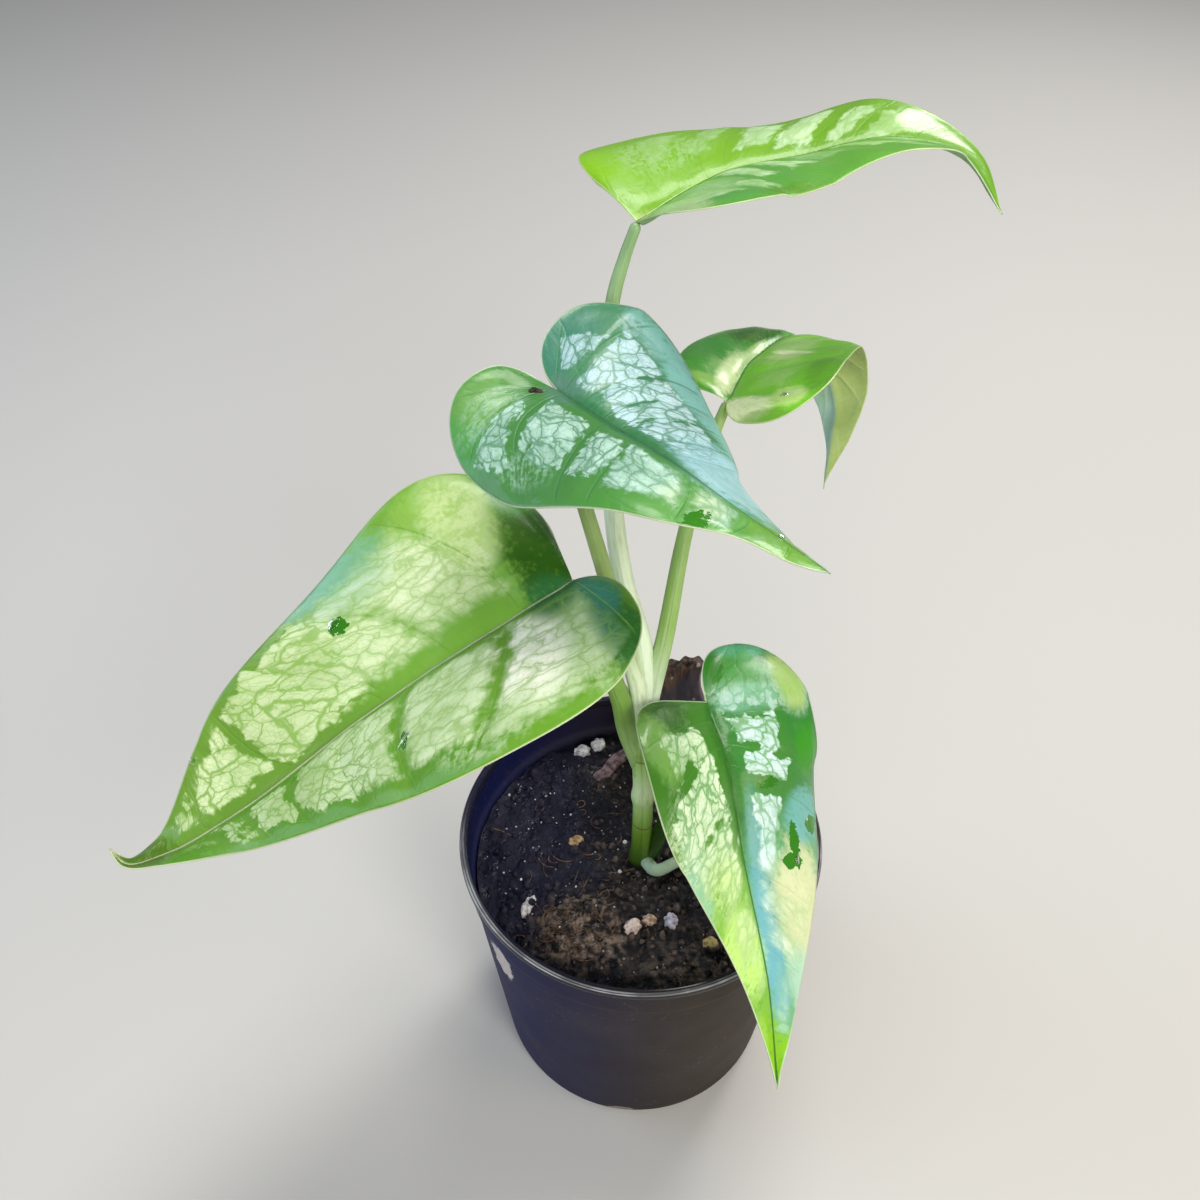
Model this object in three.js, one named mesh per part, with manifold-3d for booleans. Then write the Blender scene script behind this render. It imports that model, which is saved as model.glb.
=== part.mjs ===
import * as THREE from "three";
import { mergeVertices } from "three/addons/utils/BufferGeometryUtils.js";
import Module from "manifold-3d";

// A young monstera siltepecana in a thin plastic nursery pot.
// Millimetres and degrees, +Z up. The origin is on the pot's axis, at its underside.

const wasm = await Module();
wasm.setup();

// Clearance kept between pieces that touch on the real plant.
const clearance = 0.3;

const pot = {
  height: 72.6,
  rimRadius: 40.2,
  footRadius: 33,
  wall: 0.9,
  floor: 1,
  collarHeight: 9.6,
  collarStep: 0.8,
  channelHeight: 1.6,
  channelInner: 14.5,
  channelOuter: 28,
  drainHoles: 6,
  drainHoleRadius: 3,
  sides: 40,
};

const soil = {
  level: 61.6,
  underside: 3.1,
  lumpHeight: 0.75,
  rings: 8,
  sides: 40,
};

// The main stem, from its foot in the soil to where the youngest stalks part.
const stem = {
  path: [
    [0.6, 0, 48],
    [0.4, 0, 62],
    [0.3, 0.5, 85],
    [-0.5, 1.5, 102],
    [-0.7, 2, 109],
  ],
  radius: [2.2, 2.3, 2.2, 2.1, 1.5],
  nodes: [
    { at: 0.23, height: 2.4, swell: 0.6 },
    { at: 0.6, height: 2, swell: 0.45 },
    { at: 0.84, height: 1.8, swell: 0.4 },
  ],
  sides: 10,
  steps: 24,
};

// A round pale root that leaves the stem's foot, lies on the soil and dips into it.
const aerialRoot = {
  path: [
    [1.2, -1.2, 62.6],
    [3.6, -5, 63.6],
    [8.6, -3, 64.2],
    [14, 1, 62.6],
    [17.5, 3.6, 57.5],
  ],
  radius: [1.6, 1.35, 1.25, 1.1, 0.8],
  sides: 8,
  steps: 14,
};

// Each leaf has a stalk and a blade. A blade is drawn flat as two halves, right and left of its midrib as seen from
// the stalk, and then bent along its spine. Values in pairs are for the right and the left half. Values in threes are
// at the stalk, halfway and at the tip.
// spine: points that the midrib runs through, from the stalk to the tip
// halfWidth, lobe: reach of a half's edge sideways, and back past the stalk
// widest: share of the length where the blade is widest
// shoulder, taper, point: how full the edge stays past there, and how slender it ends
// roll: turn of the whole blade about its midrib
// fold: how far each half rises from flat at the midrib
// curl: how far each half bends down again towards its edge
// droop: how far the lobes bend down behind the stalk
// wave: height, waves along the edge and start of the wavy edge
// stalk: points and radii of the leaf stalk, from the stem up to just short of the blade
const leaves = {
  top: {
    spine: [
      [-2.5, 42.4, 195.7],
      [12.8, 53.7, 199.3],
      [27.5, 57.6, 201],
      [43.8, 59.3, 203.7],
      [58.7, 60.8, 199.3],
      [65, 51.2, 192.8],
    ],
    halfWidth: [24.6, 25],
    lobe: [0.2, 0],
    widest: 0.2,
    shoulder: 0.37,
    taper: 0.19,
    point: 0.26,
    roll: [-2, -6, 4],
    fold: [
      [33, 19, 27],
      [31, 13, 29],
    ],
    curl: [23, 41],
    droop: [20, 20],
    wave: [
      [0.6, 2.1, -0.15],
      [-1, 2.4, 0],
    ],
    stalk: {
      path: [
        [-0.4, 2.6, 104],
        [0, 3, 113],
        [-0.8, 6.5, 125],
        [-4.1, 13, 134.6],
        [-6.3, 20.5, 146.6],
        [-7.3, 31, 165.8],
        [-6.8, 38.4, 181.5],
        [-4.5, 41.3, 189.8],
      ],
      radius: [2, 2.1, 2.1, 2, 1.9, 1.7, 1.6, 1.55, 1.8],
    },
  },
  middle: {
    spine: [
      [-16.6, 18.6, 176.7],
      [-5.7, 7.2, 176.6],
      [5.4, -4.6, 176.6],
      [16, -13.8, 173.8],
      [25.3, -25.5, 174.3],
    ],
    halfWidth: [24, 24.2],
    lobe: [10.5, 9],
    widest: 0.19,
    shoulder: 0.32,
    taper: 0.06,
    point: 0.08,
    roll: [7, -12, -18],
    fold: [
      [11, 6, 4],
      [25, -14, -15],
    ],
    curl: [36, 24],
    droop: [-22, -11],
    wave: [
      [1.5, 1.77, 0.08],
      [1.2, 2, 0.07],
    ],
    stalk: {
      path: [
        [-0.9, 2.2, 107],
        [-1.6, 2, 117.5],
        [-3.6, 3, 126.5],
        [-7.8, 5, 144.5],
        [-12, 9, 159.6],
        [-15.5, 14.5, 171],
      ],
      radius: [1.7, 1.8, 1.8, 1.6, 1.45, 1.35, 1.6],
    },
  },
  left: {
    spine: [
      [-13.8, -1.2, 149.7],
      [-30.4, -7.4, 141.5],
      [-52.7, -14.7, 127.6],
      [-74.7, -26.1, 115.3],
      [-88, -33.4, 111.9],
      [-93.4, -35.6, 112.5],
      [-96.8, -33.4, 114.4],
    ],
    halfWidth: [32.8, 32.6],
    lobe: [0.7, 8],
    widest: 0.18,
    shoulder: 0.42,
    taper: 0.1,
    point: 0.14,
    roll: [5, 0, 0],
    fold: [
      [9, 26, 17],
      [11, 26, 19],
    ],
    curl: [-7, 21],
    droop: [20, 2],
    wave: [
      [2.7, 2.6, -0.57],
      [-1.3, 1.75, 0.19],
    ],
    stalk: {
      path: [
        [-0.6, 1.6, 94],
        [-3.5, 1, 106],
        [-4.9, 0, 116.1],
        [-7.8, -0.6, 127.5],
        [-11.4, -1, 140],
      ],
      radius: [2, 2.1, 2, 1.8, 1.7, 1.9],
    },
  },
  right: {
    spine: [
      [15.3, 34.4, 163.1],
      [22.1, 51.6, 161.6],
      [32.8, 65.4, 158.3],
      [40.7, 68.4, 148.5],
      [43.7, 64.8, 141.7],
      [42.2, 56.4, 138.4],
      [39.4, 46.1, 132.3],
    ],
    halfWidth: [19.7, 13.3],
    lobe: [6.8, 0.5],
    widest: 0.17,
    shoulder: 0.41,
    taper: 0.08,
    point: 0.18,
    roll: [4, -17, -35],
    fold: [
      [23, -1, -2],
      [25, 14, 4],
    ],
    curl: [4, 32],
    droop: [15, 22],
    wave: [
      [-1, 2.1, 0.05],
      [-0.6, 2, -0.03],
    ],
    stalk: {
      path: [
        [0.2, 3, 103],
        [1.3, 3.6, 114],
        [3.8, 7.6, 126.5],
        [7.7, 20, 143.5],
        [13.2, 31, 159],
      ],
      radius: [1.9, 2, 1.9, 1.6, 1.4, 1.6],
    },
  },
  front: {
    spine: [
      [12.5, 4.1, 110.8],
      [16.3, -8.9, 107],
      [19.4, -23.8, 94.5],
      [22.8, -41.2, 85],
      [23.7, -61, 77.4],
    ],
    halfWidth: [23.3, 26.4],
    lobe: [0, 13.7],
    widest: 0.24,
    shoulder: 0.32,
    taper: 0.11,
    point: 0.27,
    roll: [-13, -29, -9],
    fold: [
      [18, 16, 16],
      [14, 5, 14],
    ],
    curl: [11, 24],
    droop: [20, 31],
    wave: [
      [0, 2, 0],
      [1.5, 2.2, 0.05],
    ],
    stalk: {
      path: [
        [1.2, 0, 58],
        [3.2, -0.4, 66],
        [5.6, 0, 76],
        [9.6, 2, 93],
        [12.1, 3.9, 105],
      ],
      radius: [1.7, 1.8, 1.7, 1.5, 1.4, 1.6],
    },
  },
};

const blade = { thickness: 0.7, rows: 20, columns: 4 };
const stalk = { sides: 9, steps: 16 };

// How the halves are drawn: the edge runs back round the lobe up to share lobeEnd of its parameter, out to the widest
// place up to wideEnd, and from there to the tip. Up to share fanEnd the side veins all leave from the stalk, and from
// share slantEnd on they slant less and less. A half with a lobe under smallLobe ends straight beside the stalk.
const lobeEnd = 0.15;
const wideEnd = 0.35;
const fanEnd = 0.2;
const slantEnd = 0.7;
const smallLobe = 3;
const veinCrowding = 1.4;
const veinBow = 0.24;
const spineSteps = 60;

// Grains of perlite, pumice and bark on the soil: place, half sizes and turn about the vertical.
const grains = {
  perlite_back_left: { at: [-13.5, 30.4], size: [1.9, 1.6, 1.7], turn: 20, colour: "#d9d6d2" },
  perlite_back_right: { at: [-9.4, 33.2], size: [1.6, 1.9, 1.5], turn: -30, colour: "#e4e2de" },
  perlite_left: { at: [-24.9, -13.2], size: [1.3, 2.7, 1.3], turn: -24, colour: "#dad7d3" },
  perlite_front: { at: [-2, -18.5], size: [1.9, 1.5, 1.5], turn: 35, colour: "#cdbcb5" },
  pumice_front: { at: [1.9, -16.4], size: [1.5, 1.2, 1.2], turn: 0, colour: "#b59a85" },
  perlite_right: { at: [6.6, -16.9], size: [1.4, 1.8, 1.4], turn: 12, colour: "#c9c3cb" },
  pumice_right: { at: [15, -22.5], size: [1.6, 1.9, 1.4], turn: -40, colour: "#c2a56e" },
  pumice_left: { at: [-14.6, 3.9], size: [1.7, 1.4, 1.4], turn: 15, colour: "#a98c66" },
};
const grainDepth = 0.35;

const barkStick = { from: [-10, 20.4], to: [-2.6, 29.6], halfWidth: 1.5, halfHeight: 1.1, colour: "#5c4648" };

// A flat chip of coarse bark that stands in the soil at the back and leans on the rim.
const barkChip = {
  size: [15, 4.2, 33],
  fromAxis: 31.5,
  bearing: 75,
  footHeight: 56,
  lean: 10,
  colour: "#4d3b33",
};

const vector = (p) => new THREE.Vector3(...p);
const share = (value, low, high) => THREE.MathUtils.clamp((value - low) / (high - low), 0, 1);
const radians = THREE.MathUtils.degToRad;

// Value between three stations, along the curve of second degree through them.
function between(stations, f) {
  const [start, middle, end] = stations;
  return start * (1 - f) * (1 - 2 * f) + middle * 4 * f * (1 - f) + end * f * (2 * f - 1);
}

// A geometry from lists of points and of triangles of point numbers.
function meshOf(points, triangles) {
  const geometry = new THREE.BufferGeometry();
  geometry.setAttribute("position", new THREE.Float32BufferAttribute(points.flatMap((p) => p.toArray()), 3));
  geometry.setIndex(triangles.flat());
  return geometry;
}

function solidOf(geometry) {
  const bare = new THREE.BufferGeometry();
  bare.setAttribute("position", geometry.getAttribute("position"));
  bare.setIndex(geometry.index);
  const merged = mergeVertices(bare, 1e-4);
  return new wasm.Manifold(
    new wasm.Mesh({
      numProp: 3,
      vertProperties: merged.attributes.position.array,
      triVerts: new Uint32Array(merged.index.array),
    }),
  );
}

function geometryOf(solid) {
  const { numProp, vertProperties, triVerts } = solid.getMesh();
  const geometry = new THREE.BufferGeometry();
  const places = new THREE.InterleavedBuffer(new Float32Array(vertProperties), numProp);
  geometry.setAttribute("position", new THREE.InterleavedBufferAttribute(places, 3, 0));
  geometry.setIndex(new THREE.BufferAttribute(new Uint32Array(triVerts), 1));
  return geometry.toNonIndexed();
}

// The largest piece of a solid that a cut may have left in several.
function largestOf(solid) {
  return solid.decompose().sort((a, b) => b.volume() - a.volume())[0];
}

// Places, directions and upward normals at even steps along a curve, without twist.
function framesAlong(points, steps, up) {
  const curve = new THREE.CatmullRomCurve3(points.map(vector));
  const places = curve.getSpacedPoints(steps);
  const directions = places.map((_, i) => curve.getTangentAt(i / steps));
  const normals = [];
  let normal = up.clone();
  for (const direction of directions) {
    normal = normal.clone().addScaledVector(direction, -normal.dot(direction)).normalize();
    normals.push(normal);
  }
  return { places, directions, normals, length: curve.getLength() };
}

// Point of a frame list at share f, between its steps.
function mixed(list, f) {
  const place = THREE.MathUtils.clamp(f, 0, 1) * (list.length - 1);
  const i = Math.min(Math.floor(place), list.length - 2);
  return list[i].clone().lerp(list[i + 1], place - i);
}

// A round rod along a path, with a radius at each of its points and closed ends.
function rodGeometry({ path, radius, sides, steps, nodes = [] }, grown = 0) {
  const rod = framesAlong(path, steps, new THREE.Vector3(0, -1, 0));
  const { places, directions, normals, length: curveLength } = rod;
  const points = [];
  const triangles = [];
  places.forEach((place, i) => {
    const f = i / steps;
    const spot = f * (radius.length - 1);
    const j = Math.min(Math.floor(spot), radius.length - 2);
    let r = THREE.MathUtils.lerp(radius[j], radius[j + 1], spot - j) + grown;
    for (const { at, height, swell } of nodes) {
      const away = ((f - at) * curveLength) / height;
      r += swell * Math.exp(-(away ** 2));
    }
    const across = directions[i].clone().cross(normals[i]);
    for (let k = 0; k < sides; k += 1) {
      const angle = (2 * Math.PI * k) / sides;
      const point = place.clone();
      point.addScaledVector(normals[i], r * Math.cos(angle));
      point.addScaledVector(across, r * Math.sin(angle));
      points.push(point);
    }
  });
  for (let i = 0; i < steps; i += 1) {
    for (let k = 0; k < sides; k += 1) {
      const a = i * sides + k;
      const b = i * sides + ((k + 1) % sides);
      triangles.push([a, b, b + sides], [a, b + sides, a + sides]);
    }
  }
  const first = points.push(places[0].clone().addScaledVector(directions[0], -grown)) - 1;
  const last = points.push(places[steps].clone().addScaledVector(directions[steps], grown)) - 1;
  for (let k = 0; k < sides; k += 1) {
    const next = (k + 1) % sides;
    triangles.push([first, next, k], [last, steps * sides + k, steps * sides + next]);
  }
  return meshOf(points, triangles);
}

// Point of a cubic curve through four flat points.
function cubicPoint(a, b, c, d, w) {
  return new THREE.CubicBezierCurve(
    new THREE.Vector2(...a),
    new THREE.Vector2(...b),
    new THREE.Vector2(...c),
    new THREE.Vector2(...d),
  ).getPoint(w);
}

// Edge of one half of a blade at share t of its way from the stalk to the tip, drawn flat with the midrib along +Y.
function edgePoint(leaf, side, length, t) {
  const width = leaf.halfWidth[side];
  const back = leaf.lobe[side];
  const wideAt = leaf.widest * length;
  const rest = length - wideAt;
  if (t <= lobeEnd) {
    return cubicPoint([0, 0], [0.03 * width, -0.6 * back], [0.14 * width, -back], [0.46 * width, -back], t / lobeEnd);
  }
  if (t <= wideEnd) {
    const w = share(t, lobeEnd, wideEnd);
    const turnAt = wideAt - 0.6 * (wideAt + back);
    return cubicPoint([0.46 * width, -back], [0.8 * width, -back], [width, turnAt], [width, wideAt], w);
  }
  return cubicPoint(
    [width, wideAt],
    [width, wideAt + leaf.shoulder * rest],
    [leaf.taper * width, length - leaf.point * rest],
    [0, length],
    share(t, wideEnd, 1),
  );
}

// Point of a blade's middle surface, at share t along the edge and share u from the midrib out to the edge.
function bladePoint(leaf, side, spine, t, u) {
  const { length } = spine;
  const edge = edgePoint(leaf, side, length, t);
  const slanted = length * share(t, fanEnd, 1) ** veinCrowding;
  const foot = THREE.MathUtils.lerp(slanted, edge.y, share(t, slantEnd, 1) ** 2);
  const bow = veinBow * share(t, fanEnd, 2 * fanEnd) * u * (1 - u) * edge.x;
  const x = u * edge.x;
  const y = foot + u * (edge.y - foot) - bow;
  const f = share(y, 0, length);

  const place = mixed(spine.places, f);
  const direction = mixed(spine.directions, f).normalize();
  const level = mixed(spine.normals, f).normalize();
  const sideways = direction.clone().cross(level);
  const roll = radians(between(leaf.roll, f));
  const normal = level.clone().multiplyScalar(Math.cos(roll)).addScaledVector(sideways, Math.sin(roll));
  const across = sideways.multiplyScalar(Math.cos(roll)).addScaledVector(level, -Math.sin(roll));

  // The half leaves the midrib at its fold and bends at an even rate towards its edge.
  const fold = radians(between(leaf.fold[side], f));
  const bend = radians(leaf.curl[side]) / leaf.halfWidth[side];
  const out = (Math.sin(fold) - Math.sin(fold - bend * x)) / bend;
  const rise = (Math.cos(fold - bend * x) - Math.cos(fold)) / bend;

  // Behind the stalk the lobes bend down the same way.
  const behind = Math.max(0, -y);
  const drop = radians(leaf.droop[side]) / Math.max(leaf.lobe[side], 1);
  const backward = Math.sin(drop * behind) / drop;
  const lowered = (1 - Math.cos(drop * behind)) / drop;

  const [height, waves, start] = leaf.wave[side];
  const calm = share(t, 0, 0.1) * share(1 - t, 0, 0.15);
  const ripple = height * u * u * Math.sin(2 * Math.PI * (waves * t + start)) * calm;

  place.addScaledVector(direction, -backward);
  place.addScaledVector(normal, rise - lowered + ripple);
  place.addScaledVector(across, side === 0 ? out : -out);
  return place;
}

// A whole blade: one sheet of triangles through both halves, given the same thickness on either side.
function bladeGeometry(leaf, thickness) {
  const spine = framesAlong(leaf.spine, spineSteps, new THREE.Vector3(0, 0, 1));
  const middle = [];
  const numbers = new Map();
  const numberOf = (side, i, j) => {
    const even = i / blade.rows;
    const t = even + 0.4 * share(even, 0.5, 1) ** 2 * (1 - even);
    let name = `${side} ${i} ${j}`;
    if (i === blade.rows) name = "tip";
    else if (j === 0) name = t <= fanEnd ? "stalk" : `rib ${i}`;
    if (!numbers.has(name)) {
      numbers.set(name, middle.push(bladePoint(leaf, side, spine, t, j / blade.columns)) - 1);
    }
    return numbers.get(name);
  };

  const sheet = [];
  for (const side of [0, 1]) {
    const firstRow = leaf.lobe[side] < smallLobe ? Math.round(lobeEnd * blade.rows) : 1;
    for (let i = firstRow; i < blade.rows; i += 1) {
      for (let j = 0; j < blade.columns; j += 1) {
        const [a, b] = [numberOf(side, i, j), numberOf(side, i + 1, j)];
        const [c, d] = [numberOf(side, i + 1, j + 1), numberOf(side, i, j + 1)];
        for (const [p, q, r] of [[a, d, c], [a, c, b]]) {
          if (p !== q && q !== r && r !== p) sheet.push(side === 0 ? [p, q, r] : [p, r, q]);
        }
      }
    }
  }

  const normals = middle.map(() => new THREE.Vector3());
  for (const triangle of sheet) {
    const [p, q, r] = triangle.map((n) => middle[n]);
    const facing = q.clone().sub(p).cross(r.clone().sub(p));
    triangle.forEach((n) => normals[n].add(facing));
  }
  const offset = (n, height) => middle[n].clone().addScaledVector(normals[n].clone().normalize(), height);
  const upper = middle.map((_, n) => offset(n, thickness / 2));
  const lower = middle.map((_, n) => offset(n, -thickness / 2));

  const under = (n) => n + middle.length;
  const triangles = [...sheet, ...sheet.map(([p, q, r]) => [under(p), under(r), under(q)])];
  const sides = new Set(sheet.flatMap(([p, q, r]) => [`${p} ${q}`, `${q} ${r}`, `${r} ${p}`]));
  for (const name of sides) {
    const [p, q] = name.split(" ").map(Number);
    if (!sides.has(`${q} ${p}`)) {
      triangles.push([q, p, under(p)], [q, under(p), under(q)]);
    }
  }
  return meshOf([...upper, ...lower], triangles);
}

// The pot's profile, up the outside, over the lip and down the inside, turned about its axis.
function potGeometry() {
  const collarFoot = pot.height - pot.collarHeight;
  const collarRadius = pot.rimRadius - 0.9;
  const wallTop = collarRadius - pot.collarStep;
  const innerTop = wallTop - pot.wall;
  const floorTop = pot.floor;
  const profile = [
    [0, 0],
    [pot.channelInner - 0.8, 0],
    [pot.channelInner + 0.8, pot.channelHeight],
    [pot.channelOuter - 0.8, pot.channelHeight],
    [pot.channelOuter + 0.8, 0],
    [pot.footRadius - 1.6, 0],
    [pot.footRadius - 0.5, 0.5],
    [pot.footRadius, 1.7],
    [wallTop, collarFoot - 0.6],
    [collarRadius - 0.3, collarFoot],
    [collarRadius, pot.height - 2.4],
    [pot.rimRadius, pot.height - 1.8],
    [pot.rimRadius, pot.height - 0.6],
    [pot.rimRadius - 0.6, pot.height],
    [pot.rimRadius - 1.3, pot.height],
    [pot.rimRadius - 1.8, pot.height - 0.6],
    [innerTop + pot.collarStep - 0.1, collarFoot + 0.5],
    [innerTop, collarFoot - 0.8],
    [pot.footRadius - 1.2, 2.6],
    [pot.footRadius - 2.2, floorTop],
    [pot.channelOuter, floorTop],
    [pot.channelOuter - 1.6, pot.channelHeight + floorTop],
    [pot.channelInner + 1.6, pot.channelHeight + floorTop],
    [pot.channelInner, floorTop],
    [0, floorTop],
  ];
  const turned = new THREE.LatheGeometry(profile.map((p) => new THREE.Vector2(...p)), pot.sides);
  turned.rotateX(Math.PI / 2);
  let solid = solidOf(turned);
  for (let i = 0; i < pot.drainHoles; i += 1) {
    const angle = (2 * Math.PI * i) / pot.drainHoles;
    const middleRadius = (pot.channelInner + pot.channelOuter) / 2;
    const drill = new THREE.CylinderGeometry(pot.drainHoleRadius, pot.drainHoleRadius, 8, 12);
    drill.rotateX(Math.PI / 2);
    drill.translate(middleRadius * Math.cos(angle), middleRadius * Math.sin(angle), 0);
    solid = solid.subtract(solidOf(drill));
  }
  return geometryOf(solid);
}

// Height of the crumbly soil surface: a sum of slow and quick waves, lower at the wall and heaped at the front left.
function soilHeight(x, y) {
  const slow = Math.sin(0.21 * x + 0.6) * Math.cos(0.19 * y - 0.4);
  const quick = Math.sin(0.62 * x + 0.27 * y) * Math.cos(0.55 * y - 0.3 * x + 1);
  const heap = 1.6 * Math.exp(-((x + 15) ** 2 + (y + 19) ** 2) / 90);
  const edge = 1.2 * share(Math.hypot(x, y), 30, 38);
  return soil.level + soil.lumpHeight * (slow + 0.6 * quick) + heap - edge;
}

// The soil fills the pot from just over its floor up to a crumbly top.
function soilGeometry() {
  const wallTop = pot.rimRadius - 0.9 - pot.collarStep - pot.wall;
  const wallRadius = (z) => {
    const f = share(z, 2.6, pot.height - pot.collarHeight - 0.8);
    return THREE.MathUtils.lerp(pot.footRadius - 1.2, wallTop, f) - clearance - 0.1;
  };
  const topRadius = wallRadius(soil.level - 1.5);
  const points = [];
  const triangles = [];
  const centre = points.push(new THREE.Vector3(0, 0, soilHeight(0, 0))) - 1;
  const ring = (i) => points.length - soil.sides + (i % soil.sides);
  for (let r = 1; r <= soil.rings + 1; r += 1) {
    const before = (i) => 1 + (r - 2) * soil.sides + (i % soil.sides);
    for (let i = 0; i < soil.sides; i += 1) {
      const angle = (2 * Math.PI * i) / soil.sides;
      const side = r > soil.rings;
      const radius = side ? wallRadius(soil.underside) : (topRadius * r) / soil.rings;
      const [x, y] = [radius * Math.cos(angle), radius * Math.sin(angle)];
      points.push(new THREE.Vector3(x, y, side ? soil.underside : soilHeight(x, y)));
    }
    for (let i = 0; i < soil.sides; i += 1) {
      if (r === 1) triangles.push([centre, ring(i), ring(i + 1)]);
      else triangles.push([before(i), ring(i), ring(i + 1)], [before(i), ring(i + 1), before(i + 1)]);
    }
  }
  const bottom = points.push(new THREE.Vector3(0, 0, soil.underside)) - 1;
  for (let i = 0; i < soil.sides; i += 1) {
    const rim = (k) => bottom - soil.sides + (k % soil.sides);
    triangles.push([bottom, rim(i + 1), rim(i)]);
  }
  return meshOf(points, triangles);
}

// A rough grain: a ball of few faces, squashed and knocked out of round.
function grainGeometry({ at: [x, y], size, turn }, grown = 0) {
  const ball = new THREE.IcosahedronGeometry(1, 1);
  const places = ball.getAttribute("position");
  for (let i = 0; i < places.count; i += 1) {
    const p = new THREE.Vector3().fromBufferAttribute(places, i);
    const rough = 1 + 0.09 * Math.sin(5 * p.x + 7 * p.y + size[0]) + 0.08 * Math.cos(6 * p.z - 4 * p.y + x);
    places.setXYZ(i, p.x * rough, p.y * rough, p.z * rough);
  }
  ball.scale(...size.map((s) => s + grown));
  ball.rotateZ(radians(turn));
  ball.translate(x, y, soilHeight(x, y) + size[2] - grainDepth * 2 * size[2]);
  return ball;
}

function barkStickGeometry(grown = 0) {
  const [x0, y0] = barkStick.from;
  const [x1, y1] = barkStick.to;
  const length = Math.hypot(x1 - x0, y1 - y0) + 2 * grown;
  const [width, height] = [2 * (barkStick.halfWidth + grown), 2 * (barkStick.halfHeight + grown)];
  const stick = new THREE.BoxGeometry(length, width, height, 6, 2, 1);
  const places = stick.getAttribute("position");
  for (let i = 0; i < places.count; i += 1) {
    const p = new THREE.Vector3().fromBufferAttribute(places, i);
    const narrow = 1 - 0.35 * Math.abs((2 * p.x) / length) ** 3;
    places.setXYZ(i, p.x, p.y * narrow + 0.25 * Math.sin(0.9 * p.x), p.z * narrow + 0.2 * Math.cos(1.1 * p.x));
  }
  stick.rotateZ(Math.atan2(y1 - y0, x1 - x0));
  const [x, y] = [(x0 + x1) / 2, (y0 + y1) / 2];
  const z = (soilHeight(x0, y0) + soilHeight(x1, y1)) / 2 + 0.7;
  stick.translate(x, y, z);
  return stick;
}

function barkChipGeometry(grown = 0) {
  const [width, depth, height] = barkChip.size.map((s) => s + 2 * grown);
  const chip = new THREE.BoxGeometry(width, depth, height, 5, 1, 6);
  const places = chip.getAttribute("position");
  for (let i = 0; i < places.count; i += 1) {
    const p = new THREE.Vector3().fromBufferAttribute(places, i);
    const f = p.z / height + 0.5;
    const narrow = 0.78 + 0.22 * Math.sin(Math.PI * Math.min(1, 1.2 * f + 0.1));
    const ragged = f * (0.3 * p.x + 0.5 * Math.sin(1.4 * p.x));
    places.setXYZ(i, p.x * narrow + 0.5 * Math.sin(0.4 * p.z), p.y + 0.4 * Math.sin(0.35 * p.x), p.z + ragged);
  }
  chip.translate(0, 0, barkChip.size[2] / 2);
  chip.rotateX(-radians(barkChip.lean));
  chip.translate(0, barkChip.fromAxis, barkChip.footHeight);
  chip.rotateZ(radians(barkChip.bearing - 90));
  return chip;
}

const finishes = {
  pot: new THREE.MeshStandardMaterial({ color: "#3b3c45", roughness: 0.42, metalness: 0 }),
  soil: new THREE.MeshStandardMaterial({ color: "#1d1714", roughness: 0.95, metalness: 0 }),
  stem: new THREE.MeshStandardMaterial({ color: "#5f8a2f", roughness: 0.5, metalness: 0 }),
  stalk: new THREE.MeshStandardMaterial({ color: "#a9c47f", roughness: 0.45, metalness: 0 }),
  root: new THREE.MeshStandardMaterial({ color: "#9fb98f", roughness: 0.6, metalness: 0 }),
  blade: new THREE.MeshStandardMaterial({ color: "#4f9a3a", roughness: 0.32, metalness: 0 }),
};

const plant = new THREE.Group();

function place(name, geometry, material) {
  const mesh = new THREE.Mesh(geometry, material);
  mesh.name = name;
  plant.add(mesh);
}

function mineral(colour) {
  return new THREE.MeshStandardMaterial({ color: colour, roughness: 0.9, metalness: 0 });
}

// What a piece has to stay clear of, each grown by the clearance.
const cuts = [];

const mainStem = solidOf(rodGeometry(stem));
place("stem", geometryOf(mainStem), finishes.stem);
cuts.push(solidOf(rodGeometry(stem, clearance)));

// The stalk's path, with its end just under the blade where the midrib starts.
function stalkRod(leaf) {
  const { places, normals } = framesAlong(leaf.spine, spineSteps, new THREE.Vector3(0, 0, 1));
  const seat = places[0].clone().addScaledVector(normals[0], -blade.thickness / 2 - clearance);
  return { ...stalk, radius: leaf.stalk.radius, path: [...leaf.stalk.path, seat.toArray()] };
}

// Each stalk is cut to sit against the stem, the older stalks and the underside of its blade.
for (const [name, leaf] of Object.entries(leaves)) {
  const rod = stalkRod(leaf);
  const bladeCut = solidOf(bladeGeometry(leaf, blade.thickness + 2 * clearance));
  let solid = solidOf(rodGeometry(rod)).subtract(bladeCut);
  for (const cut of cuts) solid = solid.subtract(cut);
  place(`petiole_${name}`, geometryOf(largestOf(solid)), finishes.stalk);
  place(`leaf_${name}`, bladeGeometry(leaf, blade.thickness), finishes.blade);
  cuts.push(solidOf(rodGeometry(rod, clearance)));
}

let root = solidOf(rodGeometry(aerialRoot));
for (const cut of cuts) root = root.subtract(cut);
place("aerial_root", geometryOf(largestOf(root)), finishes.root);
cuts.push(solidOf(rodGeometry(aerialRoot, clearance)));

for (const [name, grain] of Object.entries(grains)) {
  place(name, geometryOf(solidOf(grainGeometry(grain))), mineral(grain.colour));
  cuts.push(solidOf(grainGeometry(grain, clearance)));
}

place("bark_stick", geometryOf(solidOf(barkStickGeometry())), mineral(barkStick.colour));
cuts.push(solidOf(barkStickGeometry(clearance)));
place("bark_chip", geometryOf(solidOf(barkChipGeometry())), mineral(barkChip.colour));
cuts.push(solidOf(barkChipGeometry(clearance)));

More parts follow.
